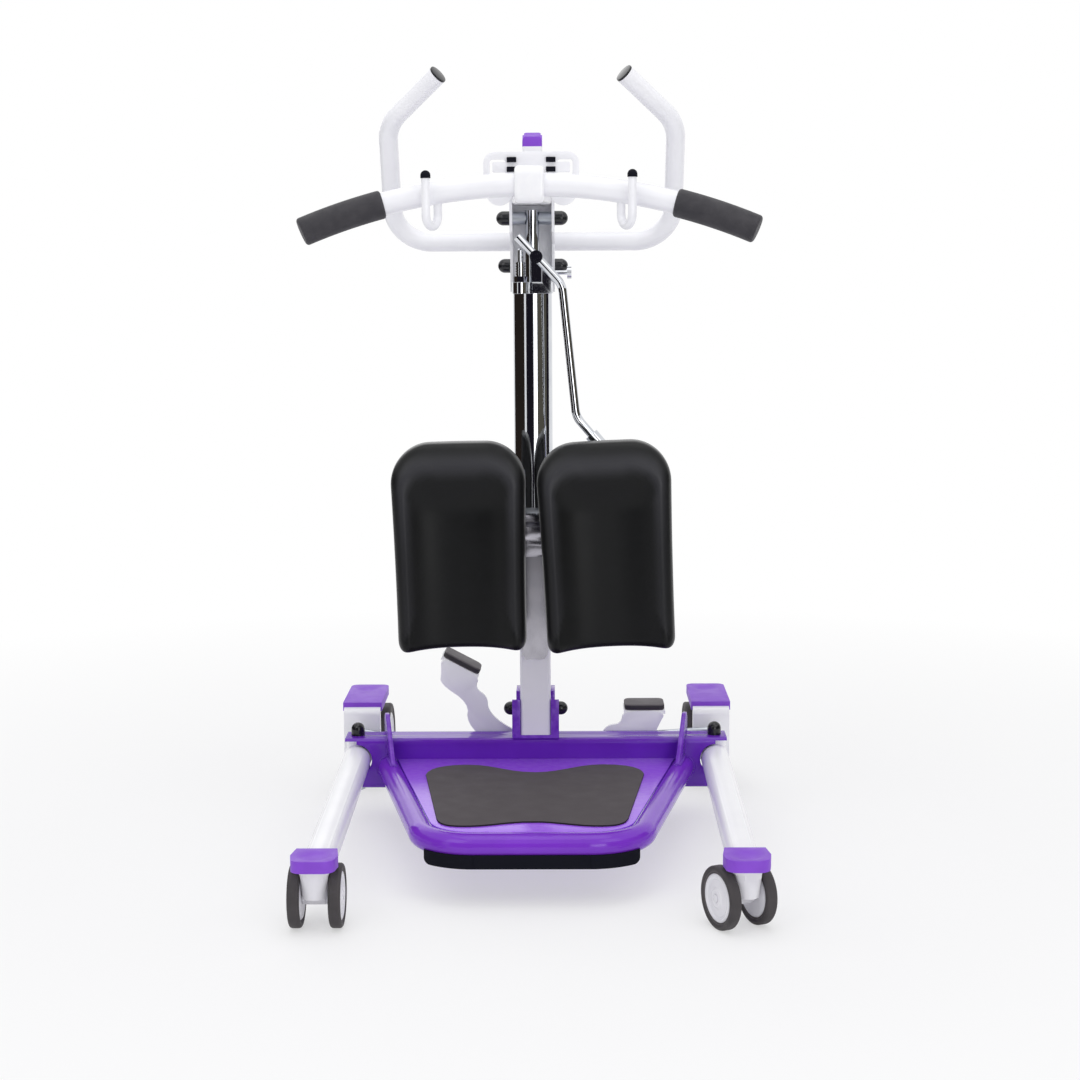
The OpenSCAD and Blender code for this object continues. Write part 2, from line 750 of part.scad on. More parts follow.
// Boom arm: a tapered box from the head channel to the boss that holds the handlebar
boss_w = 38;
boss_h = 48;
boss_l = 44;
bar_y = -bar_reach;
bar_r = bar_d / 2;
bar_play = 0.3;
boss_rear = bar_y + boss_l / 2;
boom_rear = mast_y - inner_d / 2;
boom_full = channel_front - 10;
boom_fall = 4;
function boom_half(y) = boss_w / 2
    + (channel_in - boss_w / 2) * min(1, (y - boss_rear) / (boom_full - boss_rear));
function boom_top(y) = bar_z + boss_h / 2 - boom_fall * (y - boss_rear) / (boom_rear - boss_rear);
module boom_arm() {
    low = bar_z - boss_h / 2;
    nose = bar_y - boss_l / 2;
    bevel = 7;
    half = [[boss_w / 2, nose], [boss_w / 2, boss_rear], [channel_in, boom_full], [channel_in, boom_rear]];
    side = [[nose, low + bevel], [nose + bevel, low], [boom_rear, low + bevel],
            [boom_rear, boom_top(boom_rear)], [boss_rear, low + boss_h],
            [nose + bevel, low + boss_h], [nose, low + boss_h - bevel]];
    color(white) place() difference() {
        intersection() {
            translate([0, 0, low - past])
                linear_extrude(boss_h + 2 * past) polygon(concat(half, mirrored(half)));
            rotate([90, 0, 90]) translate([0, 0, -channel_out])
                linear_extrude(2 * channel_out) polygon(side);
        }
        rod_x([-channel_out, bar_y, bar_z], 2 * channel_out, bar_r + bar_play);
    }
}

// Handlebar: one long arc in a leaning plane, drawn in a local frame with its middle at the origin
bar_sweep = asin(bar_half / bar_bend);
module on_bar() {
    translate([0, bar_y, bar_z]) rotate([90 - bar_lean, 0, 0]) translate([0, -bar_bend, 0]) children();
}
module bar_arc(r, from, to) {
    rotate([0, 0, 90 - to])
        rotate_extrude(angle = to - from, $fn = 96) translate([bar_bend, 0]) circle(r = r);
}
module handlebar() {
    wall = 2.5;
    color(white) place() on_bar() difference() {
        bar_arc(bar_r, -bar_sweep, bar_sweep);
        bar_arc(bar_r - wall, -bar_sweep - 1, bar_sweep + 1);
    }
}
module hand_grips() {
    grip_sweep = grip_l / bar_bend * 180 / PI;
    end_cap = 0.25;
    color("#3A383D") place() on_bar() both_sides() difference() {
        bar_arc(grip_d / 2, bar_sweep - grip_sweep, bar_sweep + end_cap);
        bar_arc(bar_r, bar_sweep - grip_sweep - 1, bar_sweep);
    }
}

// Sling hooks: bent rods under the handlebar whose tips rise in front of it
hook_x = 119;
hook_r = 5.5;
hook_gap = 32;
hook_drop = 44;
hook_rise = 17;
hook_turn = 25;
hook_tip = 9;
function bar_drop(x) = bar_bend - sqrt(bar_bend * bar_bend - x * x);
module at_hook() {
    drop = bar_drop(hook_x);
    both_sides() translate([hook_x, bar_y - drop * sin(bar_lean), bar_z - drop * cos(bar_lean)])
        rotate([0, 0, 90 + hook_turn]) rotate([90, 0, 0]) children();
}
module sling_hooks() {
    path = [[0, -bar_r + 4], [0, -hook_drop], [-hook_gap, -hook_drop], [-hook_gap, hook_rise]];
    color(white) place() difference() {
        at_hook() bent_rod(path, hook_gap / 2, hook_r);
        on_bar() bar_arc(bar_r + 0.02, -bar_sweep, bar_sweep);
    }
}

// Sling cleat: a plate across the boom with a slot and a lobe on each side
cleat_y = -112;
cleat_t = 5;
cleat_half = 66;
cleat_low = bar_z - 2;
cleat_high = bar_z + 52;
tip_pad = [13, 3, 7];
module sling_cleat() {
    lobe = 19;
    lobe_x = cleat_half - lobe - 3;
    slot = 21;
    slot_w = 3.5;
    slot_x = cleat_half - slot / 2 - 9;
    rear = cleat_y + cleat_t;
    seat = 0.1;
    color(white) place() difference() {
        translate([0, rear, 0]) rotate([90, 0, 0]) {
            translate([0, (cleat_low + cleat_high) / 2])
                round_plate(2 * cleat_half, cleat_high - cleat_low, cleat_t, 16);
            for (x = [-lobe_x, lobe_x]) translate([x, cleat_low]) cylinder(h = cleat_t, r = lobe);
        }
        for (s = [-1, 1]) translate([s * slot_x, rear + past, cleat_high - slot]) rotate([90, 0, 0])
            difference() {
                round_plate(slot, slot, cleat_t + 2 * past, slot_w);
                translate([-s * slot_w, 0, -past])
                    round_plate(slot, slot - 2 * slot_w, cleat_t + 4 * past, slot_w / 2);
            }
        block([-boom_half(rear) - seat, cleat_y - past, 0],
              [boom_half(rear) + seat, rear + past, boom_top(cleat_y) + seat]);
    }
}
module rubber_tips() {
    color(black) place() {
        at_hook() translate([-hook_gap, hook_rise, 0]) rotate([-90, 0, 0]) rotate_extrude() {
            square([hook_r + 1, hook_tip - hook_r]);
            intersection() {
                translate([0, hook_tip - hook_r]) circle(r = hook_r + 1);
                square([hook_r + 1, hook_tip + hook_r]);
            }
        }
        for (x = [-1, 1], z = [cleat_high - 11, cleat_high - 24])
            translate([x * 27, cleat_y - tip_pad[1] / 2, z]) cube(tip_pad, center = true);
    }
}

// Push handle: a tube bent into a U with its tips turned in, on the back of the head channel
push_r = push_d / 2;
push_y = channel_web + channel_t + push_r + 0.1;
push_side = 184;
push_tip_in = 73;
push_bend = 56;
push_path = [
    [-push_half + push_tip_in, push_side + push_tip_in], [-push_half, push_side], [-push_half, 0],
    [push_half, 0], [push_half, push_side], [push_half - push_tip_in, push_side + push_tip_in]
];
module on_push() {
    translate([0, push_y, push_z]) rotate([90 + push_lean, 0, 0]) children();
}
module push_handle() {
    color(white) place() on_push() bent_tube(push_path, push_bend, push_r, 2.5);
}
module push_handle_caps() {
    plug = 10;
    rim = 3;
    end = push_path[5];
    color(black) place() on_push() both_sides()
        translate([end[0], end[1], 0]) rotate([0, 0, 135]) {
            rod_x([-plug, 0, 0], plug, push_r - 2.5);
            rod_x([0, 0, 0], rim, push_r);
        }
}

// Pump lever: a bent rod that turns on the fulcrum pin, with a sleeve on its lower end
lever_grip = 62;
lever_grip_r = 10;
module pump_lever() {
    along = unit(lever_path[3] - lever_path[2]);
    grip_from = lever_path[3] - along * lever_grip;
    color(chrome) place() difference() {
        translate([0, lever_y, 0]) rotate([90, 0, 0]) {
            bent_rod(lever_path, lever_bend, lever_r);
            translate([fulcrum[0], fulcrum[1], -eye_half]) cylinder(h = 2 * eye_half, r = eye_r);
            translate([grip_from[0], grip_from[1], 0]) rotate([0, 0, heading(lever_path[2], lever_path[3])])
                rod_x([0, 0, 0], lever_grip + 4, lever_grip_r);
        }
        rod_y([fulcrum[0], lever_y - eye_half - past, fulcrum[1]], 2 * eye_half + 2 * past, pin_r + run_fit);
    }
}
module pump_plunger() {
    tip_r = 2.5;
    tip_h = 2;
    low = collar_top + 14;
    tip = lever_line(barrel_x + tip_r) - (lever_r + 0.6) / cos(lever_tilt);
    color(chrome) place() translate([barrel_x, barrel_y, 0]) {
        translate([0, 0, low]) cylinder(h = tip - tip_h - low, r = plunger_r);
        translate([0, 0, tip - tip_h]) cylinder(h = tip_h, r1 = plunger_r, r2 = tip_r);
    }
}
module release_knob() {
    reach = 22;
    knob_r = 9;
    knob_t = 6;
    color(chrome) place() difference() {
        union() {
            rod_x([valve_out - spindle_in + past, valve_y, valve_z], spindle_in + reach, spindle_r);
            rod_x([valve_out + reach, valve_y, valve_z], knob_t, knob_r);
        }
        for (a = [0 : 45 : 315]) translate([valve_out + reach - past, valve_y, valve_z])
            rotate([a, 0, 0]) rod_x([0, knob_r + 0.6, 0], knob_t + 2 * past, 1.6);
    }
}

// Knee bracket: a carriage on the rail with a crossbar for the two pad swivels
carriage_h = min(60, 2 * (jack_bottom - seat_shelf_t - spigot_drop - 2 * clear - pad_z));
carriage_w = rail_w + 18;
bar_t = 8;
crossbar_front = -113;
crossbar_h = 40;
crossbar_half = pad_span / 2 + 18;
swivel_r = 6;
module knee_bracket() {
    front = rail_front - 12;
    color(chrome) place() difference() {
        union() {
            block([-carriage_w / 2, front, pad_z - carriage_h / 2],
                  [carriage_w / 2, mast_front - clear, pad_z + carriage_h / 2]);
            block([-20, crossbar_front + bar_t - past, pad_z - crossbar_h / 2],
                  [20, front + past, pad_z + crossbar_h / 2]);
            translate([0, crossbar_front + bar_t, pad_z]) rotate([90, 0, 0])
                round_plate(2 * crossbar_half, crossbar_h, bar_t, 12);
        }
        block([-rail_w / 2 - clear, rail_front - clear, 0], [rail_w / 2 + clear, mast_front, mast_top]);
        for (x = [-1, 1])
            rod_y([x * pad_span / 2, crossbar_front - past, pad_z], bar_t + 2 * past, swivel_r + run_fit);
        rod_x([-carriage_w, (rail_front + mast_front) / 2, pad_z], carriage_w, swivel_r - 2 + run_fit);
    }
}
module knee_clamp_knob() {
    knob_r = 16;
    from = -carriage_w / 2 - 6;
    y = (rail_front + mast_front) / 2;
    color(black) place() difference() {
        union() {
            rod_x([from, y, pad_z], -rail_w / 2 - clear - 0.1 - from, swivel_r - 2);
            rod_x([from - 16, y, pad_z], 16, knob_r);
        }
        for (a = [0 : 60 : 300]) translate([from - 16 - past, y, pad_z])
            rotate([a, 0, 0]) rod_x([0, knob_r + 3, 0], 16 + 2 * past, 6);
    }
}

// Knee pads: a steel back plate that swivels on the crossbar and a moulded cushion on it
plate_front_y = crossbar_front - 8;
knee_plate_t = 4;
module knee_plate(tilt) {
    rear = plate_front_y + knee_plate_t;
    translate([0, 0, pad_z]) rotate([0, tilt, 0]) {
        translate([0, rear, -4]) rotate([90, 0, 0]) round_plate(110, 190, knee_plate_t, 14);
        rod_y([0, rear, 0], crossbar_front - clear - rear, 14);
        rod_y([0, rear, 0], crossbar_front + bar_t + 6 - rear, swivel_r);
        rod_y([0, crossbar_front + bar_t + clear, 0], 6, swivel_r + 4);
    }
}

// The cushion's outline runs round its edge: corner arcs with gently drawn in edges between them
pad_top_r = 48;
pad_low_r = 16;
pad_pull = 3;
pad_arch = 7;
pad_edge_r = 17;
arc_steps = 6;
edge_steps = 5;
function pull(k) = sin(180 * k / (edge_steps + 1));
function pad_half_outline() = let (w = pad_w / 2, h = pad_h / 2) concat(
    arc([w - pad_low_r, pad_low_r - h], pad_low_r, -90, 0, arc_steps),
    [for (k = [1 : edge_steps]) let (t = k / (edge_steps + 1))
        [w - pad_pull * pull(k), (1 - t) * (pad_low_r - h) + t * (h - pad_top_r)]],
    arc([w - pad_top_r, h - pad_top_r], pad_top_r, 0, 90, arc_steps));
function pad_taper(p) = [p[0] * (0.5 + p[1] / pad_h + (0.5 - p[1] / pad_h) * pad_w_low / pad_w), p[1]];
function pad_outline() = let (w = pad_w / 2, h = pad_h / 2, half = pad_half_outline()) [for (p = concat(
    half,
    [for (k = [1 : edge_steps]) let (t = 1 - 2 * k / (edge_steps + 1))
        [t * (w - pad_top_r), h - pad_pull * 0.4 * pull(k)]],
    mirrored(half),
    [for (k = [1 : edge_steps]) let (t = 2 * k / (edge_steps + 1) - 1)
        [t * (w - pad_low_r), pad_arch * pull(k) - h]])) pad_taper(p)];
rim_in = 0.84;
rim_out = 0.40;
function ease(t) = let (k = max(0, min(1, t))) k * k * (3 - 2 * k);
function trough(p) = let (
        across = abs(p[0]) / (pad_w / 2),
        dip = 0.8 * ease((rim_in - across) / (rim_in - rim_out)) + 0.2 * cos(90 * min(1, across)),
        up = ease((pad_h * 0.42 - p[1]) / (pad_h * 0.16)))
    pad_trough * dip * up;
// A ring of the cushion: the outline shrunk by an even margin, at a depth that the roll of the edge sets
function pad_ring(outline, margin, lift) = [for (p = outline)
    let (q = [p[0] * (1 - 2 * margin / pad_w), p[1] * (1 - 2 * margin / pad_h)])
    [q[0], trough(q) + (1 - lift) * pad_edge_r - pad_t, q[1]]];
module knee_pad(tilt) {
    outline = pad_outline();
    n = len(outline);
    rolls = [0, 25, 50, 72, 90];
    margins = [21, 29, 38, 48, 60, 74, 84];
    back = [for (p = outline) [p[0] * (1 - 12 / pad_w), 0, p[1] * (1 - 12 / pad_h)]];
    waist = [for (p = outline) [p[0], -10, p[1]]];
    rings = concat([back, waist],
        [for (a = rolls) pad_ring(outline, pad_edge_r * (1 - cos(a)), sin(a))],
        [for (m = margins) pad_ring(outline, m, 1)]);
    points = concat([for (r = rings) each r], [[0, 0, 0], [0, trough([0, 0]) - pad_t, 0]]);
    count = len(rings);
    sides = [for (k = [0 : count - 2], i = [0 : n - 1]) let (j = (i + 1) % n)
        each [[k * n + i, k * n + j, (k + 1) * n + j], [k * n + i, (k + 1) * n + j, (k + 1) * n + i]]];
    rear = [for (i = [0 : n - 1]) [count * n, (i + 1) % n, i]];
    nose = [for (i = [0 : n - 1]) [count * n + 1, (count - 1) * n + i, (count - 1) * n + (i + 1) % n]];
    translate([0, plate_front_y, pad_z]) rotate([0, tilt, 0]) translate([0, 0, -3])
        polyhedron(points, concat(sides, rear, nose));
}
module left_knee_plate() {
    color(chrome) place() translate([-pad_span / 2, 0, 0]) knee_plate(-left_pad_turn);
}
module right_knee_plate() {
    color(chrome) place() translate([pad_span / 2, 0, 0]) knee_plate(-right_pad_turn);
}
module left_knee_pad() {
    color(black) place() translate([-pad_span / 2, 0, 0]) knee_pad(-left_pad_turn);
}
module right_knee_pad() {
    color(black) place() translate([pad_span / 2, 0, 0]) knee_pad(-right_pad_turn);
}

// Pedal rocker: one arm is drawn with its tread level, and the other is its mirror image turned up
tread_x = 132;
tread_w = 62;
tread_d = 52;
tread_z = 66;
arm_profile = cut_corners(cut_corners([
    [-12, -24], [70, -20], [116, -6], [126, 22], [tread_x + 46, 28], [tread_x + tread_w - 10, 44],
    [tread_x + tread_w + 2, tread_z], [tread_x - 2, tread_z], [tread_x - 4, 46], [tread_x - 26, 44],
    [94, 24], [60, 16], [-12, 20]]));
rocker_lift = rocker_arm + 14;
module pedal_frame() {
    translate([0, rocker_y, rocker_z]) children();
}
module pedal_arms() {
    children();
    rotate([0, pedal_swing, 0]) mirror([1, 0, 0]) children();
}
module rocker_outline() {
    polygon(arm_profile);
    rotate(-pedal_swing) mirror([1, 0]) polygon(arm_profile);
    circle(r = rocker_lift);
}
module pedal_rocker() {
    pin_l = clear + link_t + 3;
    pin_root = 3;
    tread_t = 5;
    lap = 2;
    color(white) place() pedal_frame() difference() {
        union() {
            translate([0, rocker_t, 0]) rotate([90, 0, 0]) linear_extrude(rocker_t) rocker_outline();
            pedal_arms() block([tread_x, lap, tread_z - tread_t], [tread_x + tread_w, tread_d, tread_z]);
            for (s = [-1, 1]) rotate([0, pedal_swing / 2, 0])
                rod_y([0, rocker_t - pin_root, s * rocker_arm], pin_root + pin_l, rocker_pin_r);
        }
        rod_y([0, -past, 0], rocker_t + 2 * past, bolt_r + run_fit);
    }
}
module pedal_pads() {
    edge = 1;
    color(rubber) place() pedal_frame() pedal_arms()
        translate([tread_x + tread_w / 2, tread_d / 2, tread_z])
            round_plate(tread_w - 2 * edge, tread_d - 2 * edge, 9, 10);
}

// Links: each runs from a crank pin on its leg to a pin on the rocker, where its eye has play
module link(side, pin_sign) {
    relief = 7;
    at_leg = [side * crank_x, crank, crank_seat + clear + link_t / 2];
    at_rocker = [pin_sign * rocker_arm * sin(pedal_swing / 2), link_y + link_t / 2,
                 rocker_z + pin_sign * rocker_arm * cos(pedal_swing / 2)];
    color(chrome) place() difference() {
        union() {
            translate([at_leg[0], at_leg[1], at_leg[2] - link_t / 2]) cylinder(h = link_t, r = link_eye_r);
            rod_y([at_rocker[0], link_y, at_rocker[2]], link_t, link_eye_r);
            difference() {
                rod_between(at_leg, at_rocker, link_rod_r);
                translate([at_leg[0], at_leg[1], 0]) cylinder(h = beam_top + leg_tube_d, r = link_eye_r - 2);
            }
        }
        translate([at_leg[0], at_leg[1], 0]) cylinder(h = beam_top + leg_tube_d, r = crank_pin_r + run_fit);
        rod_y([at_rocker[0], 0, at_rocker[2]], 2 * crank, rocker_pin_r + link_play);
        block([-pivot_span, 0, 0], [pivot_span, link_y, beam_top + leg_tube_d]);
        translate([at_leg[0], at_leg[1], crank_seat + clear - leg_tube_d])
            cylinder(h = leg_tube_d, r = link_eye_r + relief);
    }
}
module left_link() { link(-1, -1); }
module right_link() { link(1, 1); }

// Legs: a sloping tube with the pivot sleeve, the crank pin and a seat plate over each caster
sleeve_r = 17;
stem_r = 6;
sweep_room = 4;
front_sweep = norm([front_trail + front_wheel_d / 2, wheel_out]) + sweep_room;
rear_sweep = ceil(norm([rear_trail + rear_wheel_d / 2, wheel_out]) + sweep_room);
riser_d = 14;
riser_round = 11;
rear_end = rear_y + cap_l / 2;
bridge_w = cap_w - 4;
sill_half = leg_r * 0.8;
sill_t = 3;
module leg_solid(r) {
    from = front_y - 4;
    to = rear_y - rear_sweep - riser_d / 2;
    translate([0, 0, leg_axis_z]) rotate([leg_slope, 0, 0]) rod_y([0, from, 0], to - from, r);
}
// The plate behind a leg's tube, bent up and over the rear caster
module rear_bridge(tail, front, low) {
    base = low - 2 * riser_round;
    long = rear_end - past - front;
    high = rear_seat + seat_t - base;
    difference() {
        translate([-bridge_w / 2, front + long / 2, base + high / 2]) rotate([90, 0, 90])
            round_plate(long, high, bridge_w, riser_round);
        block([-bridge_w, tail, base - past], [bridge_w, rear_end + past, rear_seat]);
        block([-bridge_w, front - past, base - past], [bridge_w, tail + past, low]);
    }
}
module leg() {
    tail = rear_y - rear_sweep;
    seat_w = cap_w - 9;
    seat_l = cap_l - 8;
    translate([pivot_x, 0, 0]) difference() {
        union() {
            difference() {
                leg_solid(leg_r);
                leg_solid(leg_r - leg_wall);
                translate([0, front_y, 0]) cylinder(h = front_seat, r = front_sweep);
            }
            translate([0, 0, beam_bottom + beam_wall + clear])
                cylinder(h = beam_h - 2 * beam_wall - 2 * clear, r = sleeve_r);
            translate([0, front_y, front_seat]) round_plate(seat_w, seat_l, seat_t, 10);
            block([-sill_half, front_y, front_seat],
                  [sill_half, front_y + front_sweep + 6, front_seat + sill_t]);
            rear_bridge(tail, tail - riser_d, floor(leg_z(tail) - leg_r - sill_t));
            translate([crank_x - pivot_x, crank, leg_z(crank)]) {
                cylinder(h = crank_seat - leg_z(crank), r = link_eye_r);
                cylinder(h = crank_seat - leg_z(crank) + link_t + 2 * clear + 3, r = crank_pin_r);
            }
        }
        cylinder(h = 2 * beam_top, r = bolt_r + run_fit);
        translate([0, front_y, 0]) cylinder(h = 2 * beam_top, r = stem_r + run_fit);
        translate([0, rear_y, 0]) cylinder(h = 2 * beam_top, r = stem_r + run_fit);
    }
}
module right_leg() { color(white) place() leg(); }
module left_leg() { color(white) place() mirror([1, 0, 0]) leg(); }

// Caster caps: a moulded cover with round front corners and a shallow dish, over each seat plate
stem_rise = 9;
module caster_cap() {
    corner = 15;
    half = concat(arc([cap_w / 2 - 2 - corner, -cap_l / 2 + corner], corner, -90, 0, 6),
                  [[cap_w / 2, 0], [cap_w / 2 - 4, cap_l / 2]]);
    difference() {
        linear_extrude(cap_h) polygon(concat(half, mirrored(half)));
        translate([0, -4, cap_h + 56]) sphere(r = 60, $fn = 64);
        translate([0, 0, -past]) cylinder(h = stem_rise + past, r = stem_r + 5);
    }
}
// The rear cover lies over the bridge from its bend to its end, with a thin skirt on both sides
rear_cover_t = 7;
rear_stem_rise = 2;
module rear_cover() {
    bevel = 12;
    dish_r = 60;
    dish_deep = 3;
    dish_lead = 4;
    front = rear_y - rear_sweep - riser_d + riser_round;
    skirt = rear_seat + 1;
    top = rear_seat + seat_t + rear_cover_t;
    half = concat([[cap_w / 2, front]],
                  arc([cap_w / 2 - bevel, rear_end - bevel], bevel, 0, 90, 5));
    difference() {
        translate([0, 0, skirt]) linear_extrude(top - skirt) polygon(concat(half, mirrored(half)));
        block([-bridge_w / 2, front - past, 0], [bridge_w / 2, rear_end - past, rear_seat + seat_t]);
        translate([0, rear_y - dish_lead, top + dish_r - dish_deep]) sphere(r = dish_r, $fn = 64);
        translate([0, rear_y, rear_seat]) cylinder(h = seat_t + rear_stem_rise + past, r = stem_r + 4);
    }
}
module leg_caps() {
    translate([pivot_x, 0, 0]) {
        difference() {
            translate([0, front_y, front_seat]) caster_cap();
            translate([0, front_y, front_seat - past]) round_plate(cap_w - 9, cap_l - 8, seat_t + past, 10);
            block([-sill_half, front_y, front_seat - past],
                  [sill_half, front_y + front_sweep, front_seat + sill_t]);
            leg_solid(leg_r + 0.05);
        }
        rear_cover();
    }
}
module right_leg_caps() { color(purple) place() leg_caps(); }
module left_leg_caps() { color(purple) place() mirror([1, 0, 0]) leg_caps(); }

// Twin wheel casters: a moulded housing on a stem, with the axle behind the stem
axle_r = 5;
hub_gap = 0.5;
module at_caster(side, y, turn) {
    translate([side * pivot_x, y, 0]) rotate([0, 0, turn]) children();
}
module caster_body(wheel_d, trail, seat, up) {
    r = wheel_d / 2;
    neck = wheel_gap / 2 - 2.5;
    shoulder = neck + 4;
    flange = 6;
    flange_z = seat - clear - flange;
    boss_r = 11;
    room = 1;
    rim_z = sqrt(r * r - trail * trail) + r + 1;
    side = [[-neck, seat - 4], [-neck, seat - 12], [trail - neck * 0.75, r - 8], [trail + neck, r - 2],
            [trail + neck, r + 6], [neck, rim_z], [neck, seat - 4]];
    translate([0, 0, r + 4]) cylinder(h = seat + up - r - 4, r = stem_r);
    difference() {
        union() {
            translate([0, 0, flange_z]) cylinder(h = flange, r = shoulder + 1);
            translate([0, 0, r + 4]) cylinder(h = flange_z - r - 4 + past, r1 = neck, r2 = shoulder);
            rotate([90, 0, 90]) translate([0, 0, -neck + 3]) linear_extrude(2 * neck - 6) polygon(side);
            rod_x([-wheel_gap / 2 + hub_gap, trail, r], wheel_gap - 2 * hub_gap, boss_r);
        }
        for (s = [-1, 1]) translate([s * (wheel_gap / 2 - hub_gap), trail, r]) rotate([0, s * 90, 0])
            cylinder(h = wheel_w, r = r + room);
    }
    rod_x([-wheel_out - 1, trail, r], 2 * wheel_out + 2, axle_r);
}
// Half section of one wheel hub, from its bore to its seat for the tyre, with a dished outer face
module hub_pair(wheel_d, trail) {
    r = wheel_d / 2;
    seat = r * 0.76;
    profile = [[axle_r + run_fit, 0], [seat - 3, 0], [seat, 2], [seat, wheel_w - 2],
               [seat - 4, wheel_w - 0.5], [seat - 7, wheel_w - 3], [seat * 0.45, wheel_w - 2],
               [seat * 0.38, wheel_w], [axle_r + run_fit, wheel_w]];
    for (s = [-1, 1]) translate([s * wheel_gap / 2, trail, r]) rotate([0, s * 90, 0])
        rotate_extrude() polygon(profile);
}
module tyre_pair(wheel_d, trail) {
    r = wheel_d / 2;
    seat = r * 0.76;
    crown = 4;
    for (s = [-1, 1]) translate([s * wheel_gap / 2, trail, r]) rotate([0, s * 90, 0]) rotate_extrude() {
        translate([seat, 2]) square([r - crown - seat, wheel_w - 4]);
        translate([seat, crown]) square([r - seat, wheel_w - 2 * crown]);
        for (y = [crown, wheel_w - crown]) translate([r - crown, y]) circle(r = crown);
    }
}
module front_left_caster() {
    color(white) place() at_caster(-1, front_y, 0)
        caster_body(front_wheel_d, front_trail, front_seat, stem_rise - 1);
}
module front_right_caster() {
    color(white) place() at_caster(1, front_y, parked_turn)
        caster_body(front_wheel_d, front_trail, front_seat, stem_rise - 1);
}
module rear_left_caster() {
    color(white) place() at_caster(-1, rear_y, 0)
        caster_body(rear_wheel_d, rear_trail, rear_seat, seat_t + rear_stem_rise);
}
module rear_right_caster() {
    color(white) place() at_caster(1, rear_y, 0)
        caster_body(rear_wheel_d, rear_trail, rear_seat, seat_t + rear_stem_rise);
}
module front_left_hubs() {
    color(white) place() at_caster(-1, front_y, 0) hub_pair(front_wheel_d, front_trail);
}
module front_right_hubs() {
    color(white) place() at_caster(1, front_y, parked_turn) hub_pair(front_wheel_d, front_trail);
}
module rear_left_hubs() {
    color(white) place() at_caster(-1, rear_y, 0) hub_pair(rear_wheel_d, rear_trail);
}
module rear_right_hubs() {
    color(white) place() at_caster(1, rear_y, 0) hub_pair(rear_wheel_d, rear_trail);
}
module front_left_tyres() {
    color(rubber) place() at_caster(-1, front_y, 0) tyre_pair(front_wheel_d, front_trail);
}
module front_right_tyres() {
    color(rubber) place() at_caster(1, front_y, parked_turn) tyre_pair(front_wheel_d, front_trail);
}
module rear_left_tyres() {
    color(rubber) place() at_caster(-1, rear_y, 0) tyre_pair(rear_wheel_d, rear_trail);
}
module rear_right_tyres() {
    color(rubber) place() at_caster(1, rear_y, 0) tyre_pair(rear_wheel_d, rear_trail);
}

crossbeam();
footplate_frame();
footplate_panel();
foot_mat();
footplate_bumper();
gusset_plates();
mast_bracket();
outer_mast();
base_bolts();
base_bolt_caps();
mast_bush();
knee_rail();
jack_seat();
jack_cylinder();
jack_collar();
pump_fittings();
inner_mast();
mast_foot();
mast_cap();
head_channel();
head_bolts();
head_bolt_caps();
jack_ram();
boom_arm();
handlebar();
hand_grips();
sling_hooks();
rubber_tips();
sling_cleat();
push_handle();
push_handle_caps();
pump_lever();
pump_plunger();
release_knob();
knee_bracket();
knee_clamp_knob();
left_knee_plate();
left_knee_pad();
right_knee_plate();
right_knee_pad();
pedal_rocker();
pedal_pads();
left_link();
right_link();
left_leg();
right_leg();
left_leg_caps();
right_leg_caps();
front_left_caster();
front_right_caster();
rear_left_caster();
rear_right_caster();
front_left_hubs();
front_right_hubs();
rear_left_hubs();
rear_right_hubs();
front_left_tyres();
front_right_tyres();
rear_left_tyres();
rear_right_tyres();
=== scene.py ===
"""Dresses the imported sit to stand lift.

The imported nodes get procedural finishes, modelled pieces stand over the ones whose edges, cushions or grips
need more than the solids hold, and a plain studio with one camera shows the whole.
"""

import json
import logging
import math
from dataclasses import dataclass, field
from enum import Enum, IntEnum
from typing import Callable, Sequence

import bmesh
import bpy
from mathutils import Matrix, Vector


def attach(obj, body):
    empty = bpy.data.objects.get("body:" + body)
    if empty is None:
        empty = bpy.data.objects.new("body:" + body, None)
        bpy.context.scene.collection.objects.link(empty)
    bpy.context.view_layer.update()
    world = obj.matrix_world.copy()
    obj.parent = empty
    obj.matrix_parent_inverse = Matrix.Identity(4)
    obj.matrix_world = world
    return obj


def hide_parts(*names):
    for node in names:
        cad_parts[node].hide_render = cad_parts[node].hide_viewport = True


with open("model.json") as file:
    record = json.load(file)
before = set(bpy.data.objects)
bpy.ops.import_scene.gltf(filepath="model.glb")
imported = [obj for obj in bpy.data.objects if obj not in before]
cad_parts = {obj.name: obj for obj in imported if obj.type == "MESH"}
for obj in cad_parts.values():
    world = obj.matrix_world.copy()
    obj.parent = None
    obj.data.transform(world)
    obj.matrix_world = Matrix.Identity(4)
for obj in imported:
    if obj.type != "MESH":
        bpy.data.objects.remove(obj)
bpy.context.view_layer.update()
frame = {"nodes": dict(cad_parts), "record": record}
log = logging.getLogger("lift")

BODY_OF = {node: body for body, nodes in frame["record"]["behaviour"]["bodies"].items() for node in nodes}

MM = 0.001
PIVOT_Y = 0.14675  # the row frame's Y of the line through the two leg pivots, from which sizes are given
CRISP = math.radians(40)  # an edge that turns by more than this is a crisp one
FLAT = math.radians(0.4)  # faces that turn by less than this are one face
WELD = 0.01 * MM  # points closer than this are one point
TINY = 1e-6  # keeps a division away from zero
RIM = "rim"  # the mesh attribute that marks rounded edges and the cushions' crests, where the powder coats and the cushions get a painted highlight: 1 there, 0 on the flats
EVEN = (0.3, 0.7)  # the span in which nearly all of a noise's values lie
WHITE = (1.0, 1.0, 1.0, 1.0)

Colour = tuple[float, float, float, float]
Span = tuple[float, float]
Material = bpy.types.Material
Piece = bpy.types.Object
Tree = bpy.types.NodeTree
Node = bpy.types.Node
Socket = bpy.types.NodeSocket


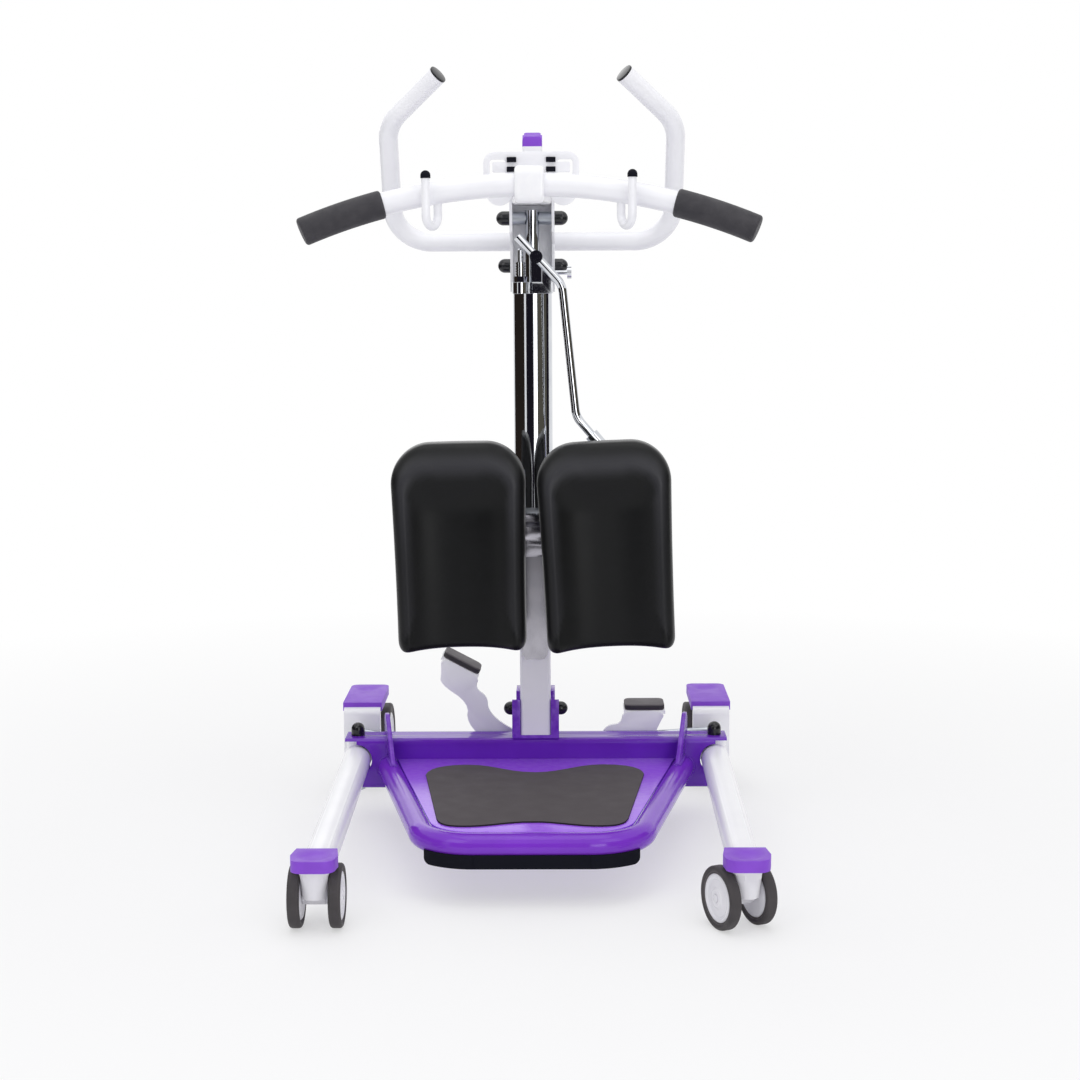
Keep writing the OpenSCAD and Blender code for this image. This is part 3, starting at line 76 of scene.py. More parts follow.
def place(x: float, y: float, z: float) -> Vector:
    """Turns a point in millimetres from the leg pivots' line into the row frame."""
    return Vector((x * MM, y * MM + PIVOT_Y, z * MM))


def linear(code: str) -> Colour:
    """Turns an sRGB hex value into a linear colour.

    Args:
        code: the colour as "#RRGGBB".

    Returns:
        Red, green, blue and an alpha of 1.
    """
    parts = [int(code[i:i + 2], 16) / 255 for i in (1, 3, 5)]
    bent = [p / 12.92 if p <= 0.04045 else ((p + 0.055) / 1.055) ** 2.4 for p in parts]
    return (*bent, 1.0)


def eased(share: float) -> float:
    """Turns a share into a smooth step from 0 to 1."""
    held = min(1.0, max(0.0, share))
    return held * held * (3 - 2 * held)


def per_mm(size: float) -> float:
    """Texture scale at which one feature measures this many millimetres."""
    return 1 / (size * MM)


def anywhere(spot: Vector) -> bool:
    """Says of every edge's middle that the edge may be rounded."""
    return True


def feed(tree: Tree, node: Node, inputs: dict | Sequence) -> None:
    """Links or sets the inputs of a node.

    Args:
        tree: the node's tree.
        node: the node.
        inputs: sockets to link and values to set, in the inputs' order or by their names or numbers.
    """
    for key, value in inputs.items() if isinstance(inputs, dict) else enumerate(inputs):
        if isinstance(value, Socket):
            tree.links.new(value, node.inputs[key])
        else:
            node.inputs[key].default_value = value


def add(tree: Tree, kind: str, inputs: dict | Sequence = (), **settings: object) -> Node:
    """Adds a shader node with its settings and links.

    Args:
        tree: the tree that takes the node.
        kind: the node's type, without its ShaderNode prefix.
        inputs: what goes into it, as feed() takes it.
        settings: the node's own properties.

    Returns:
        The new node.
    """
    node = tree.nodes.new("ShaderNode" + kind)
    for key, value in settings.items():
        setattr(node, key, value)
    feed(tree, node, inputs)
    return node


@dataclass(frozen=True)
class Finish:
    """One real material with its surface.

    Attributes:
        name: the material's common name and how it was made.
        colour: the main colour as sRGB hex.
        second: the colour that it drifts towards.
    """

    name: str
    colour: str
    second: str

    def material(self) -> Material:
        """Makes the material once.

        Returns:
            The finish as a material.
        """
        made = bpy.data.materials.get(self.name)
        if made:
            return made
        made = bpy.data.materials.new(self.name)
        made.use_nodes = True
        tree = made.node_tree
        coords = add(tree, "TexCoord").outputs["Object"]
        feed(tree, tree.nodes["Principled BSDF"], self.surface(tree, coords))
        return made

    def surface(self, tree: Tree, coords: Socket) -> dict[str, object]:
        """Builds the nodes of the finish.

        Args:
            tree: the material's tree.
            coords: the piece's own coordinates.

        Returns:
            What goes into the shader, by the inputs' names.
        """
        raise NotImplementedError

    def tone(self, tree: Tree, noise: Socket, span: Span = EVEN) -> Socket:
        """Lets the colour drift from the first to the second.

        Args:
            tree: the material's tree.
            noise: the pattern that it follows.
            span: the pattern's values at which it is the first and the second.

        Returns:
            The colour.
        """
        share = add(tree, "MapRange", [noise, *span, 0.0, 1.0]).outputs[0]
        ends = {6: linear(self.colour), 7: linear(self.second)}
        return add(tree, "Mix", {0: share, **ends}, data_type="RGBA").outputs[2]


@dataclass(frozen=True)
class PowderCoat(Finish):
    """Baked powder coat on steel: a thick gloss skin with a faint orange peel, and a pale highlight painted
    in patches on its rounded edges.

    Attributes:
        edge: the colour of the highlight painted on the rounded edges.
        edge_highlight_share: how much of it shows there.
        rough: the middle of the roughness.
        sway: how far the roughness drifts either way.
        gloss: the level of the mirror light.
        ior: the coat's index of refraction.
        cloud_mm: the size of the colour's drift.
        patch_mm: the size of the patches in which the edge highlight is painted.
        patch_span: the patches' values between which they grow from patch_least to full.
        patch_least: how much of the painted highlight is left between the patches.
        peel_mm: the width of the orange peel, about 2 mm on such a coat.
        peel: how much of the peel shows.
        peel_depth: the depth at which it is drawn.
    """

    edge: str = "#FFFFFF"
    edge_highlight_share: float = 0.35
    rough: float = 0.24
    sway: float = 0.03
    gloss: float = 0.5
    ior: float = 1.5
    cloud_mm: float = 55.0
    patch_mm: float = 9.0
    patch_span: Span = (0.35, 0.65)
    patch_least: float = 0.2
    peel_mm: float = 2.2
    peel: float = 0.03
    peel_depth: float = 0.1 * MM

    def surface(self, tree: Tree, coords: Socket) -> dict[str, object]:
        """Builds the coat: drifting colour, a highlight painted in patches on the edges, and the peel.

        Args:
            tree: the material's tree.
            coords: the piece's own coordinates.

        Returns:
            What goes into the shader, by the inputs' names.
        """
        cloud, patch, peel = (
            add(tree, "TexNoise", {"Vector": coords, "Scale": per_mm(size), "Detail": detail}).outputs["Fac"]
            for size, detail in ((self.cloud_mm, 3.0), (self.patch_mm, 4.0), (self.peel_mm, 1.0))
        )
        rim = add(tree, "Attribute", attribute_name=RIM).outputs["Fac"]
        # A pale highlight is painted on the rounded edges, broken into patches.
        patchy = add(tree, "MapRange", [patch, *self.patch_span, self.patch_least, 1.0]).outputs[0]
        highlight_mask = add(tree, "Math", [rim, patchy], operation="MULTIPLY").outputs[0]
        share = add(tree, "Math", [highlight_mask, self.edge_highlight_share], operation="MULTIPLY").outputs[0]
        ends = {6: self.tone(tree, cloud), 7: linear(self.edge)}
        rough = [cloud, *EVEN, self.rough - self.sway, self.rough + self.sway]
        bump = {"Strength": self.peel, "Distance": self.peel_depth, "Height": peel}
        return {
            "Base Color": add(tree, "Mix", {0: share, **ends}, data_type="RGBA").outputs[2],
            "Roughness": add(tree, "MapRange", rough).outputs[0],
            "Normal": add(tree, "Bump", bump).outputs["Normal"],
            "IOR": self.ior,
            "Specular IOR Level": self.gloss,
        }


@dataclass(frozen=True)
class Plated(Finish):
    """Plated or ground steel: bright metal with fine polishing lines along one direction and faint smears.

    Attributes:
        rough: the roughness where the metal is clean.
        smear: how much rougher it is where it is smeared.
        smear_mm: the size of the smears.
        tone_span: the smears' values between which the colour drifts.
        rough_span: the smears' values between which the roughness grows.
        worn: how much rougher the edges are.
        line_mm: the size of a polishing line along X, Y and Z, wider than a real one so that it shows.
        depth: how much of the lines shows.
        line_depth: the depth at which they are drawn.
    """

    rough: float = 0.08
    smear: float = 0.05
    smear_mm: float = 35.0
    tone_span: Span = (0.35, 0.7)
    rough_span: Span = (0.3, 0.75)
    worn: float = 0.06
    line_mm: tuple[float, float, float] = (0.9, 0.9, 40.0)
    depth: float = 0.03
    line_depth: float = 0.05 * MM

    def surface(self, tree: Tree, coords: Socket) -> dict[str, object]:
        """Builds the metal: smears, rougher edges and polishing lines.

        Args:
            tree: the material's tree.
            coords: the piece's own coordinates.

        Returns:
            What goes into the shader, by the inputs' names.
        """
        smudge = {"Vector": coords, "Scale": per_mm(self.smear_mm), "Detail": 5.0}
        smears = add(tree, "TexNoise", smudge).outputs["Fac"]
        rim = add(tree, "Attribute", attribute_name=RIM).outputs["Fac"]
        clean = [smears, *self.rough_span, self.rough, self.rough + self.smear]
        polish = add(tree, "MapRange", clean).outputs[0]
        edges = add(tree, "MapRange", [rim, 0.0, 1.0, 0.0, self.worn]).outputs[0]
        scale = [per_mm(size) for size in self.line_mm]
        along = add(tree, "Mapping", {"Vector": coords, "Scale": scale}).outputs["Vector"]
        lines = add(tree, "TexNoise", {"Vector": along, "Scale": 1.0, "Detail": 2.0}).outputs["Fac"]
        bump = {"Strength": self.depth, "Distance": self.line_depth, "Height": lines}
        return {
            "Base Color": self.tone(tree, smears, self.tone_span),
            "Metallic": 1.0,
            "Roughness": add(tree, "Math", [polish, edges], operation="ADD").outputs[0],
            "Normal": add(tree, "Bump", bump).outputs["Normal"],
        }


@dataclass(frozen=True)
class Moulded(Finish):
    """Injection moulded plastic: even colour, a fine spark eroded skin and edges that hands have worn
    shinier.

    Attributes:
        rough: the middle of the roughness.
        sway: how far it drifts down and up.
        rub: how much smoother the edges are.
        ior: the plastic's index of refraction.
        cloud_mm: the size of the colour's drift.
        grain_mm: the width of the skin's grain, coarser than a real one so that it shows.
        depth: how much of the grain shows.
        grain_depth: the depth at which it is drawn.
    """

    rough: float = 0.32
    sway: Span = (0.05, 0.06)
    rub: float = 0.1
    ior: float = 1.49
    cloud_mm: float = 24.0
    grain_mm: float = 1.1
    depth: float = 0.1
    grain_depth: float = 0.1 * MM

    def surface(self, tree: Tree, coords: Socket) -> dict[str, object]:
        """Builds the plastic: drifting colour, shinier worn edges and the skin's grain.

        Args:
            tree: the material's tree.
            coords: the piece's own coordinates.

        Returns:
            What goes into the shader, by the inputs' names.
        """
        cloud, grain = (
            add(tree, "TexNoise", {"Vector": coords, "Scale": per_mm(size), "Detail": detail}).outputs["Fac"]
            for size, detail in ((self.cloud_mm, 4.0), (self.grain_mm, 2.0))
        )
        rim = add(tree, "Attribute", attribute_name=RIM).outputs["Fac"]
        rough = [cloud, *EVEN, self.rough - self.sway[0], self.rough + self.sway[1]]
        skin = add(tree, "MapRange", rough).outputs[0]
        edges = add(tree, "MapRange", [rim, 0.0, 1.0, 0.0, self.rub]).outputs[0]
        bump = {"Strength": self.depth, "Distance": self.grain_depth, "Height": grain}
        return {
            "Base Color": self.tone(tree, cloud),
            "Roughness": add(tree, "Math", [skin, edges], operation="SUBTRACT").outputs[0],
            "Normal": add(tree, "Bump", bump).outputs["Normal"],
            "IOR": self.ior,
        }


class Cells(Enum):
    """The cells of a soft skin."""

    OPEN = "F1"
    SMOOTH = "SMOOTH_F1"


@dataclass(frozen=True)
class CellSkin(Finish):
    """A skin of small cells, as foam and rubber have it, with a tint on the edges: dust on rubber, a painted
    highlight on the cushions.

    Attributes:
        rough: the span of the roughness.
        gloss: the level of the mirror light.
        cloud_mm: the size of the colour's drift.
        detail: how finely the drift is broken up.
        crest_tint: the colour on the edges, if they have one: dust on rubber, a painted highlight on the
            cushions.
        crest_tint_share: how much of it shows there.
        cell_mm: the width of a cell.
        cells: the kind of cells.
        relief: how much of the cells shows.
        relief_depth: the depth at which they are drawn.
        sheen: how much soft light the skin throws at its outline.
        sheen_rough: how wide that light spreads.
    """

    rough: Span = EVEN
    gloss: float = 0.5
    cloud_mm: float = 30.0
    detail: float = 5.0
    crest_tint: str = ""
    crest_tint_share: float = 1.0
    cell_mm: float = 2.0
    cells: Cells = Cells.SMOOTH
    relief: float = 0.3
    relief_depth: float = 0.3 * MM
    sheen: float = 0.0
    sheen_rough: float = 0.5

    def surface(self, tree: Tree, coords: Socket) -> dict[str, object]:
        """Builds the skin: drifting colour, the tint on the edges and the cells.

        Args:
            tree: the material's tree.
            coords: the piece's own coordinates.

        Returns:
            What goes into the shader, by the inputs' names.
        """
        drift = {"Vector": coords, "Scale": per_mm(self.cloud_mm), "Detail": self.detail}
        cloud = add(tree, "TexNoise", drift).outputs["Fac"]
        colour = self.tone(tree, cloud)
        # The tint on the edges: dust on rubber, and a highlight painted on the cushions' crests.
        if self.crest_tint:
            rim = add(tree, "Attribute", attribute_name=RIM).outputs["Fac"]
            share = add(tree, "Math", [rim, self.crest_tint_share], operation="MULTIPLY").outputs[0]
            ends = {6: colour, 7: linear(self.crest_tint)}
            colour = add(tree, "Mix", {0: share, **ends}, data_type="RGBA").outputs[2]
        grid = {"Vector": coords, "Scale": per_mm(self.cell_mm)}
        cells = add(tree, "TexVoronoi", grid, feature=self.cells.value).outputs["Distance"]
        bump = {"Strength": self.relief, "Distance": self.relief_depth, "Height": cells}
        return {
            "Base Color": colour,
            "Roughness": add(tree, "MapRange", [cloud, *EVEN, *self.rough]).outputs[0],
            "Normal": add(tree, "Bump", bump).outputs["Normal"],
            "Specular IOR Level": self.gloss,
            "Sheen Weight": self.sheen,
            "Sheen Roughness": self.sheen_rough,
        }


@dataclass(frozen=True)
class Foam(CellSkin):
    """Closed cell foam sleeve: matt, with tiny open pores, drawn coarser than real ones so that they show."""

    rough: Span = (0.72, 0.88)
    cloud_mm: float = 16.0
    cell_mm: float = 1.3
    cells: Cells = Cells.OPEN
    relief: float = 0.35
    relief_depth: float = 0.25 * MM
    sheen: float = 0.15


@dataclass(frozen=True)
class Rubber(CellSkin):
    """Moulded rubber: matt, with a pebbled skin and dusty high spots."""

    rough: Span = (0.64, 0.82)
    gloss: float = 0.3
    detail: float = 6.0
    crest_tint: str = "#8A8488"
    crest_tint_share: float = 0.35


@dataclass(frozen=True)
class SkinFoam(CellSkin):
    """Self skinned foam: a tough satin skin with a leather grain, and a grey highlight painted on the crests.

    The grain of a real skin is about 0.8 mm wide. It is drawn twice as coarse so that it shows.
    """

    rough: Span = (0.33, 0.4)
    gloss: float = 0.21
    cloud_mm: float = 45.0
    # The grey highlight painted on the crests.
    crest_tint: str = "#38383C"
    cell_mm: float = 1.7
    relief: float = 0.2
    relief_depth: float = 0.2 * MM
    sheen: float = 0.15
    sheen_rough: float = 0.4


# Gloss coat on the beam and brackets: deep colour with soft bright streaks, darkened as painted shade, with a
# pale highlight painted along the edges
SHADED_PURPLE_COAT = PowderCoat("powder_coat_purple_gloss_shaded", "#6C2ABA", "#6626B2",
                         edge="#A570E6", rough=0.15, gloss=0.35)
# The same coat on the footplate's tube, lightened as painted light because it lies to the light
LIT_PURPLE_COAT = PowderCoat("powder_coat_purple_lit_deck", "#7C35C9", "#7631C1",
                       edge="#AE7CEF", rough=0.13, gloss=0.32)
# The same coat on the flat sheet: lightened further as painted light, and smoother, with hardly any peel
LIT_PURPLE_SHEET_COAT = PowderCoat("powder_coat_purple_lit_sheet", "#A058F4", "#9952EC",
                        edge="#AE7CEF", rough=0.2, peel=0.01)
# White gloss coat on the tubes and plates: a clean cool white with soft highlights, and a pure white
# highlight painted on the rounded edges
WHITE_COAT = PowderCoat("powder_coat_white_gloss", "#F7F7FB", "#F2F2F7", rough=0.24, peel=0.01)
# Polished chrome: mirrors the set as crisp light and dark bands
CHROME = Plated("chrome_plate_polished", "#D9DBDF", "#CBCED4", rough=0.05, smear=0.03)
# Ground bare steel: grey, with soft bands and fine lines
STEEL = Plated("steel_satin_ground", "#B2B0B8", "#A4A2AA", rough=0.17, smear=0.06, depth=0.04)
# Zinc plate: dull silver with cloudy patches
ZINC = Plated("zinc_plate_satin", "#BFC3CA", "#A9AEB6", rough=0.26, smear=0.12, depth=0.06)
# Moulded caps: satin purple, shinier where hands rub the edges
PURPLE_PLASTIC = Moulded("abs_purple_moulded", "#8644D2", "#803FCA", rough=0.48)
# Caster housings and hubs: clean satin white
WHITE_PLASTIC = Moulded("nylon_white_moulded", "#ECEBF0", "#E2E1E7", rough=0.34)
# Plugs and bolt caps: black with a small bright glint
BLACK_PLASTIC = Moulded("abs_black_moulded", "#131417", "#1C1D21", rough=0.2)
# Sliding bush: dull black with a coarser grain
BLACK_NYLON = Moulded("nylon_black_machined", "#222326", "#2B2C30", rough=0.5, depth=0.2)
# Hand grips: charcoal, dry and finely porous
GRIP_FOAM = Foam("foam_charcoal_sleeve", "#3A383D", "#323136")
# Foot mat: flat grey black, pebbled and without shine
MAT_RUBBER = Rubber("rubber_grey_mat", "#2A2629", "#262225", gloss=0.04)
# Pedal pads: charcoal, worn a little smoother by shoes
PEDAL_RUBBER = Rubber("rubber_charcoal_pedal", "#353236", "#3B383C", rough=(0.52, 0.7))
# Front buffer and hook tips: near black with a blue cast and a finer skin
BUFFER_RUBBER = Rubber("rubber_black_buffer", "#0B0C17", "#0F101B",
                       rough=(0.62, 0.8), cell_mm=1.4, relief=0.15, gloss=0.12)
# Tyres: warm dark grey, dusty on the shoulders
TYRE_RUBBER = Rubber("rubber_grey_tyre", "#4A4648", "#413E40",
                     rough=(0.52, 0.7), cell_mm=1.2, relief=0.12)
# Cushions: black satin skin whose crests catch a broad soft light, with a grey highlight painted on them
PAD_SKIN = SkinFoam("skin_foam_black_grained", "#08090A", "#0B0C0E")


def only(piece: Piece) -> Piece:
    """Selects one object and makes it active.

    Args:
        piece: the object.

    Returns:
        The same object.
    """
    bpy.ops.object.select_all(action="DESELECT")
    piece.select_set(True)
    bpy.context.view_layer.objects.active = piece
    return piece


def merged_copy(node: str, name: str) -> Piece:
    """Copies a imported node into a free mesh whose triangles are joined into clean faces.

    Args:
        node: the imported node.
        name: the new piece's name.

    Returns:
        The new piece, active and selected.
    """
    piece = bpy.data.objects.new(name, frame["nodes"][node].data.copy())
    bpy.context.scene.collection.objects.link(piece)
    only(piece)
    bpy.ops.mesh.customdata_custom_splitnormals_clear()
    bpy.ops.object.mode_set(mode="EDIT")
    bpy.ops.mesh.select_all(action="SELECT")
    bpy.ops.mesh.remove_doubles(threshold=WELD)
    bpy.ops.mesh.dissolve_limited(angle_limit=FLAT)
    bpy.ops.object.mode_set(mode="OBJECT")
    return piece


def finished(piece: Piece, finish: Finish, body: str, smooth: float = 32) -> Piece:
    """Gives a piece its finish, its smooth shading and its body.

    Args:
        piece: the modelled piece, at the origin.
        finish: its material.
        body: the body that carries it.
        smooth: the angle in degrees up to which faces shade as one.

    Returns:
        The piece.
    """
    only(piece)
    bpy.ops.object.shade_smooth_by_angle(angle=math.radians(smooth))
    piece.data.materials.clear()
    piece.data.materials.append(finish.material())
    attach(piece, body)
    log.info("%s: %d faces on %s", piece.name, len(piece.data.polygons), body)
    return piece


def with_modifier(piece: Piece, kind: str, **settings: object) -> Piece:
    """Adds a modifier to a piece, sets it and applies it.

    Args:
        piece: the piece.
        kind: the modifier's type.
        settings: the modifier's properties.

    Returns:
        The same piece.
    """
    only(piece)
    made = piece.modifiers.new(kind.lower(), kind)
    for key, value in settings.items():
        setattr(made, key, value)
    bpy.ops.object.modifier_apply(modifier=made.name)
    return piece


def soften(piece: Piece, width: float, steps: int = 3,
           keep: Callable[[Vector], bool] = anywhere) -> None:
    """Rounds the crisp edges of a piece.

    Args:
        piece: a merged mesh.
        width: how far the rounding reaches from an edge, in metres.
        steps: the rounding's steps.
        keep: says by an edge's middle whether it is rounded.
    """
    only(piece)
    bpy.ops.object.mode_set(mode="EDIT")
    bpy.ops.mesh.select_mode(type="EDGE")
    bpy.ops.mesh.select_all(action="DESELECT")
    mesh = bmesh.from_edit_mesh(piece.data)
    for edge in mesh.edges:
        crisp = len(edge.link_faces) == 2 and edge.calc_face_angle() > CRISP
        edge.select_set(crisp and keep((edge.verts[0].co + edge.verts[1].co) / 2))
    bmesh.update_edit_mesh(piece.data)
    bpy.ops.mesh.bevel(offset=width, segments=steps, affect="EDGES",
                       clamp_overlap=True, miter_outer="ARC")
    bpy.ops.object.mode_set(mode="OBJECT")
    rounded = {v for face in piece.data.polygons if face.select for v in face.vertices}
    flat = {v for face in piece.data.polygons if not face.select for v in face.vertices}
    mask = piece.data.attributes.new(RIM, "FLOAT", "POINT")
    for vertex in rounded - flat:
        mask.data[vertex].value = 1.0
    total = len(piece.data.vertices)
    log.info("%s: %d of %d points on rounded edges", piece.name, len(rounded - flat), total)
    with_modifier(piece, "WEIGHTED_NORMAL", keep_sharp=True)


@dataclass
class Dressing:
    """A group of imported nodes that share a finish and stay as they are.

    Attributes:
        finish: the material that they get.
        nodes: the nodes' names.
    """

    finish: Finish
    nodes: Sequence[str]

    def dress(self) -> None:
        """Puts the finish on every node of the group."""
        for name in self.nodes:
            mesh = frame["nodes"][name].data
            mesh.materials.clear()
            mesh.materials.append(self.finish.material())
            log.info("%s: %s", name, self.finish.name)


@dataclass
class SoftEdges:
    """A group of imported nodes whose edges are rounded, as folding, moulding and paint leave them.

    Attributes:
        finish: the material that they get.
        width: how far the rounding reaches from an edge.
        nodes: the nodes' names.
        keep: says by an edge's middle whether it is rounded.
        steps: the rounding's steps.
    """

    finish: Finish
    width: float
    nodes: Sequence[str]
    keep: Callable[[Vector], bool] = anywhere
    steps: int = 3

    def build(self) -> None:
        """Puts a rounded copy in the place of every node of the group."""
        for name in self.nodes:
            piece = merged_copy(name, name + "_rounded")
            soften(piece, self.width, self.steps, self.keep)
            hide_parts(name)
            finished(piece, self.finish, BODY_OF[name])


@dataclass
class WeldBeads:
    """Rippled weld beads where the plates and tubes of the frame are joined.

    Attributes:
        radius: a bead's radius.
        pitch: the distance between two ripples.
        pressed: a ripple's width along the bead, as a share.
        ball: the segments and rings of a ripple.
        gusset: a gusset plate's thickness and its run along the tube.
        tube: the footplate tube's radius, height, and half width at the beam.
        turn: how far the footplate's side tubes turn in, in degrees.
        beam: the crossbeam's front face, rear face and top.
        cheek: the outer face of the mast bracket's cheeks.
        tube_gap: how far from the beam a gusset's bead along the tube starts.
        post_gap: how far above the tube a gusset's upright bead starts.
        tip_gap: how far past a gusset's end its end bead lies.
        ring_gap: how far outside the tube the bead round it runs.
        cheek_gaps: how far a cheek's bead stops short of the beam's front and rear face.
    """

    radius: float = 2.4 * MM
    pitch: float = 2.2 * MM
    pressed: float = 0.75
    ball: tuple[int, int] = (12, 8)
    gusset: tuple[float, float] = (6, 56)
    tube: tuple[float, float, float] = (16.5, 78, 217)
    turn: float = 11.81
    beam: tuple[float, float, float] = (-27, 27, 122)
    cheek: float = 28.5
    tube_gap: float = 8
    post_gap: float = 6
    tip_gap: float = 1
    ring_gap: float = 0.4
    cheek_gaps: tuple[float, float] = (6, 4)

    def build(self) -> None:
        """Lays all beads of the base as one piece."""
        beads: list[Piece] = []
        thick, run = self.gusset
        radius, height, half = self.tube
        front, rear, top = self.beam
        along = Vector((-math.sin(math.radians(self.turn)), -math.cos(math.radians(self.turn)), 0))
        out = Vector((-along.y, along.x, 0))
        rest = math.sqrt(radius ** 2 - (thick / 2) ** 2)
        for flank in (-1, 1):
            foot = Vector((half, front, height + rest)) + out * flank * thick / 2
            low, high = Vector((0, 0, self.post_gap)), Vector((0, 0, top - height - rest))
            beads.append(self.line(foot + along * self.tube_gap, foot + along * run))
            beads.append(self.line(foot + low, foot + high))
        tip = Vector((half, front, height + radius)) + along * (run + self.tip_gap)
        beads.append(self.line(tip - out * thick / 2, tip + out * thick / 2))
        beads.append(self.ring(Vector((half, front, height)), (radius + self.ring_gap) * MM))
        ends = front + self.cheek_gaps[0], rear - self.cheek_gaps[1]
        beads.append(self.line(*(Vector((self.cheek, end, top)) for end in ends)))
        bead = self.joined(beads)
        with_modifier(bead, "MIRROR", use_axis=(True, False, False))
        finished(bead, SHADED_PURPLE_COAT, "base", smooth=60)

    def ripple(self) -> Piece:
        """Adds one ripple, a ball pressed flat along the bead, at the origin.

        Returns:
            The ripple.
        """
        segments, rings = self.ball
        bpy.ops.object.select_all(action="DESELECT")
        bpy.ops.mesh.primitive_uv_sphere_add(segments=segments, ring_count=rings, radius=self.radius)
        bpy.ops.object.mode_set(mode="EDIT")
        bpy.ops.mesh.select_all(action="SELECT")
        bpy.ops.transform.resize(value=(self.pressed, 1, 1))
        bpy.ops.object.mode_set(mode="OBJECT")
        return bpy.context.object

    def line(self, start: Vector, end: Vector) -> Piece:
        """Lays a straight bead.

        Args:
            start: its first end, in millimetres from the leg pivots' line.
            end: its other end.

        Returns:
            The bead.
        """
        bead = self.ripple()
        first, last = place(*start), place(*end)
        count = max(2, round((last - first).length / self.pitch))
        with_modifier(bead, "ARRAY", count=count, use_relative_offset=False, use_constant_offset=True,
                      constant_offset_displace=((last - first).length / count, 0, 0))
        turn = (last - first).to_track_quat("X", "Z").to_matrix().to_4x4()
        bead.data.transform(Matrix.Translation(first) @ turn)
        return bead

    def ring(self, centre: Vector, radius: float) -> Piece:
        """Lays a bead round a tube that meets a face at right angles to Y.

        Args:
            centre: the tube's middle there, in millimetres from the leg pivots' line.
            radius: the bead's radius round the tube, in metres.

        Returns:
            The bead.
        """
        bead = self.ripple()
        middle = place(*centre)
        bead.data.transform(Matrix.Translation(middle + Vector((0, 0, radius))))
        bpy.ops.object.mode_set(mode="EDIT")
        bpy.ops.mesh.select_all(action="SELECT")
        bpy.ops.mesh.spin(steps=round(math.tau * radius / self.pitch), angle=math.tau, dupli=True,
                          center=middle, axis=(0, 1, 0))
        bpy.ops.object.mode_set(mode="OBJECT")
        return bead

    def joined(self, beads: Sequence[Piece]) -> Piece:
        """Joins beads into one piece.

        Args:
            beads: the beads.

        Returns:
            The piece.
        """
        only(beads[0])
        for bead in beads[1:]:
            bead.select_set(True)
        bpy.ops.object.join()
        beads[0].name = "weld_beads"
        return beads[0]


class Layer(IntEnum):
    """The rows of a cushion's blank, from the front to the back."""

    FRONT = 0
    EDGE = 1
    WALL = 2
    BACK = 3


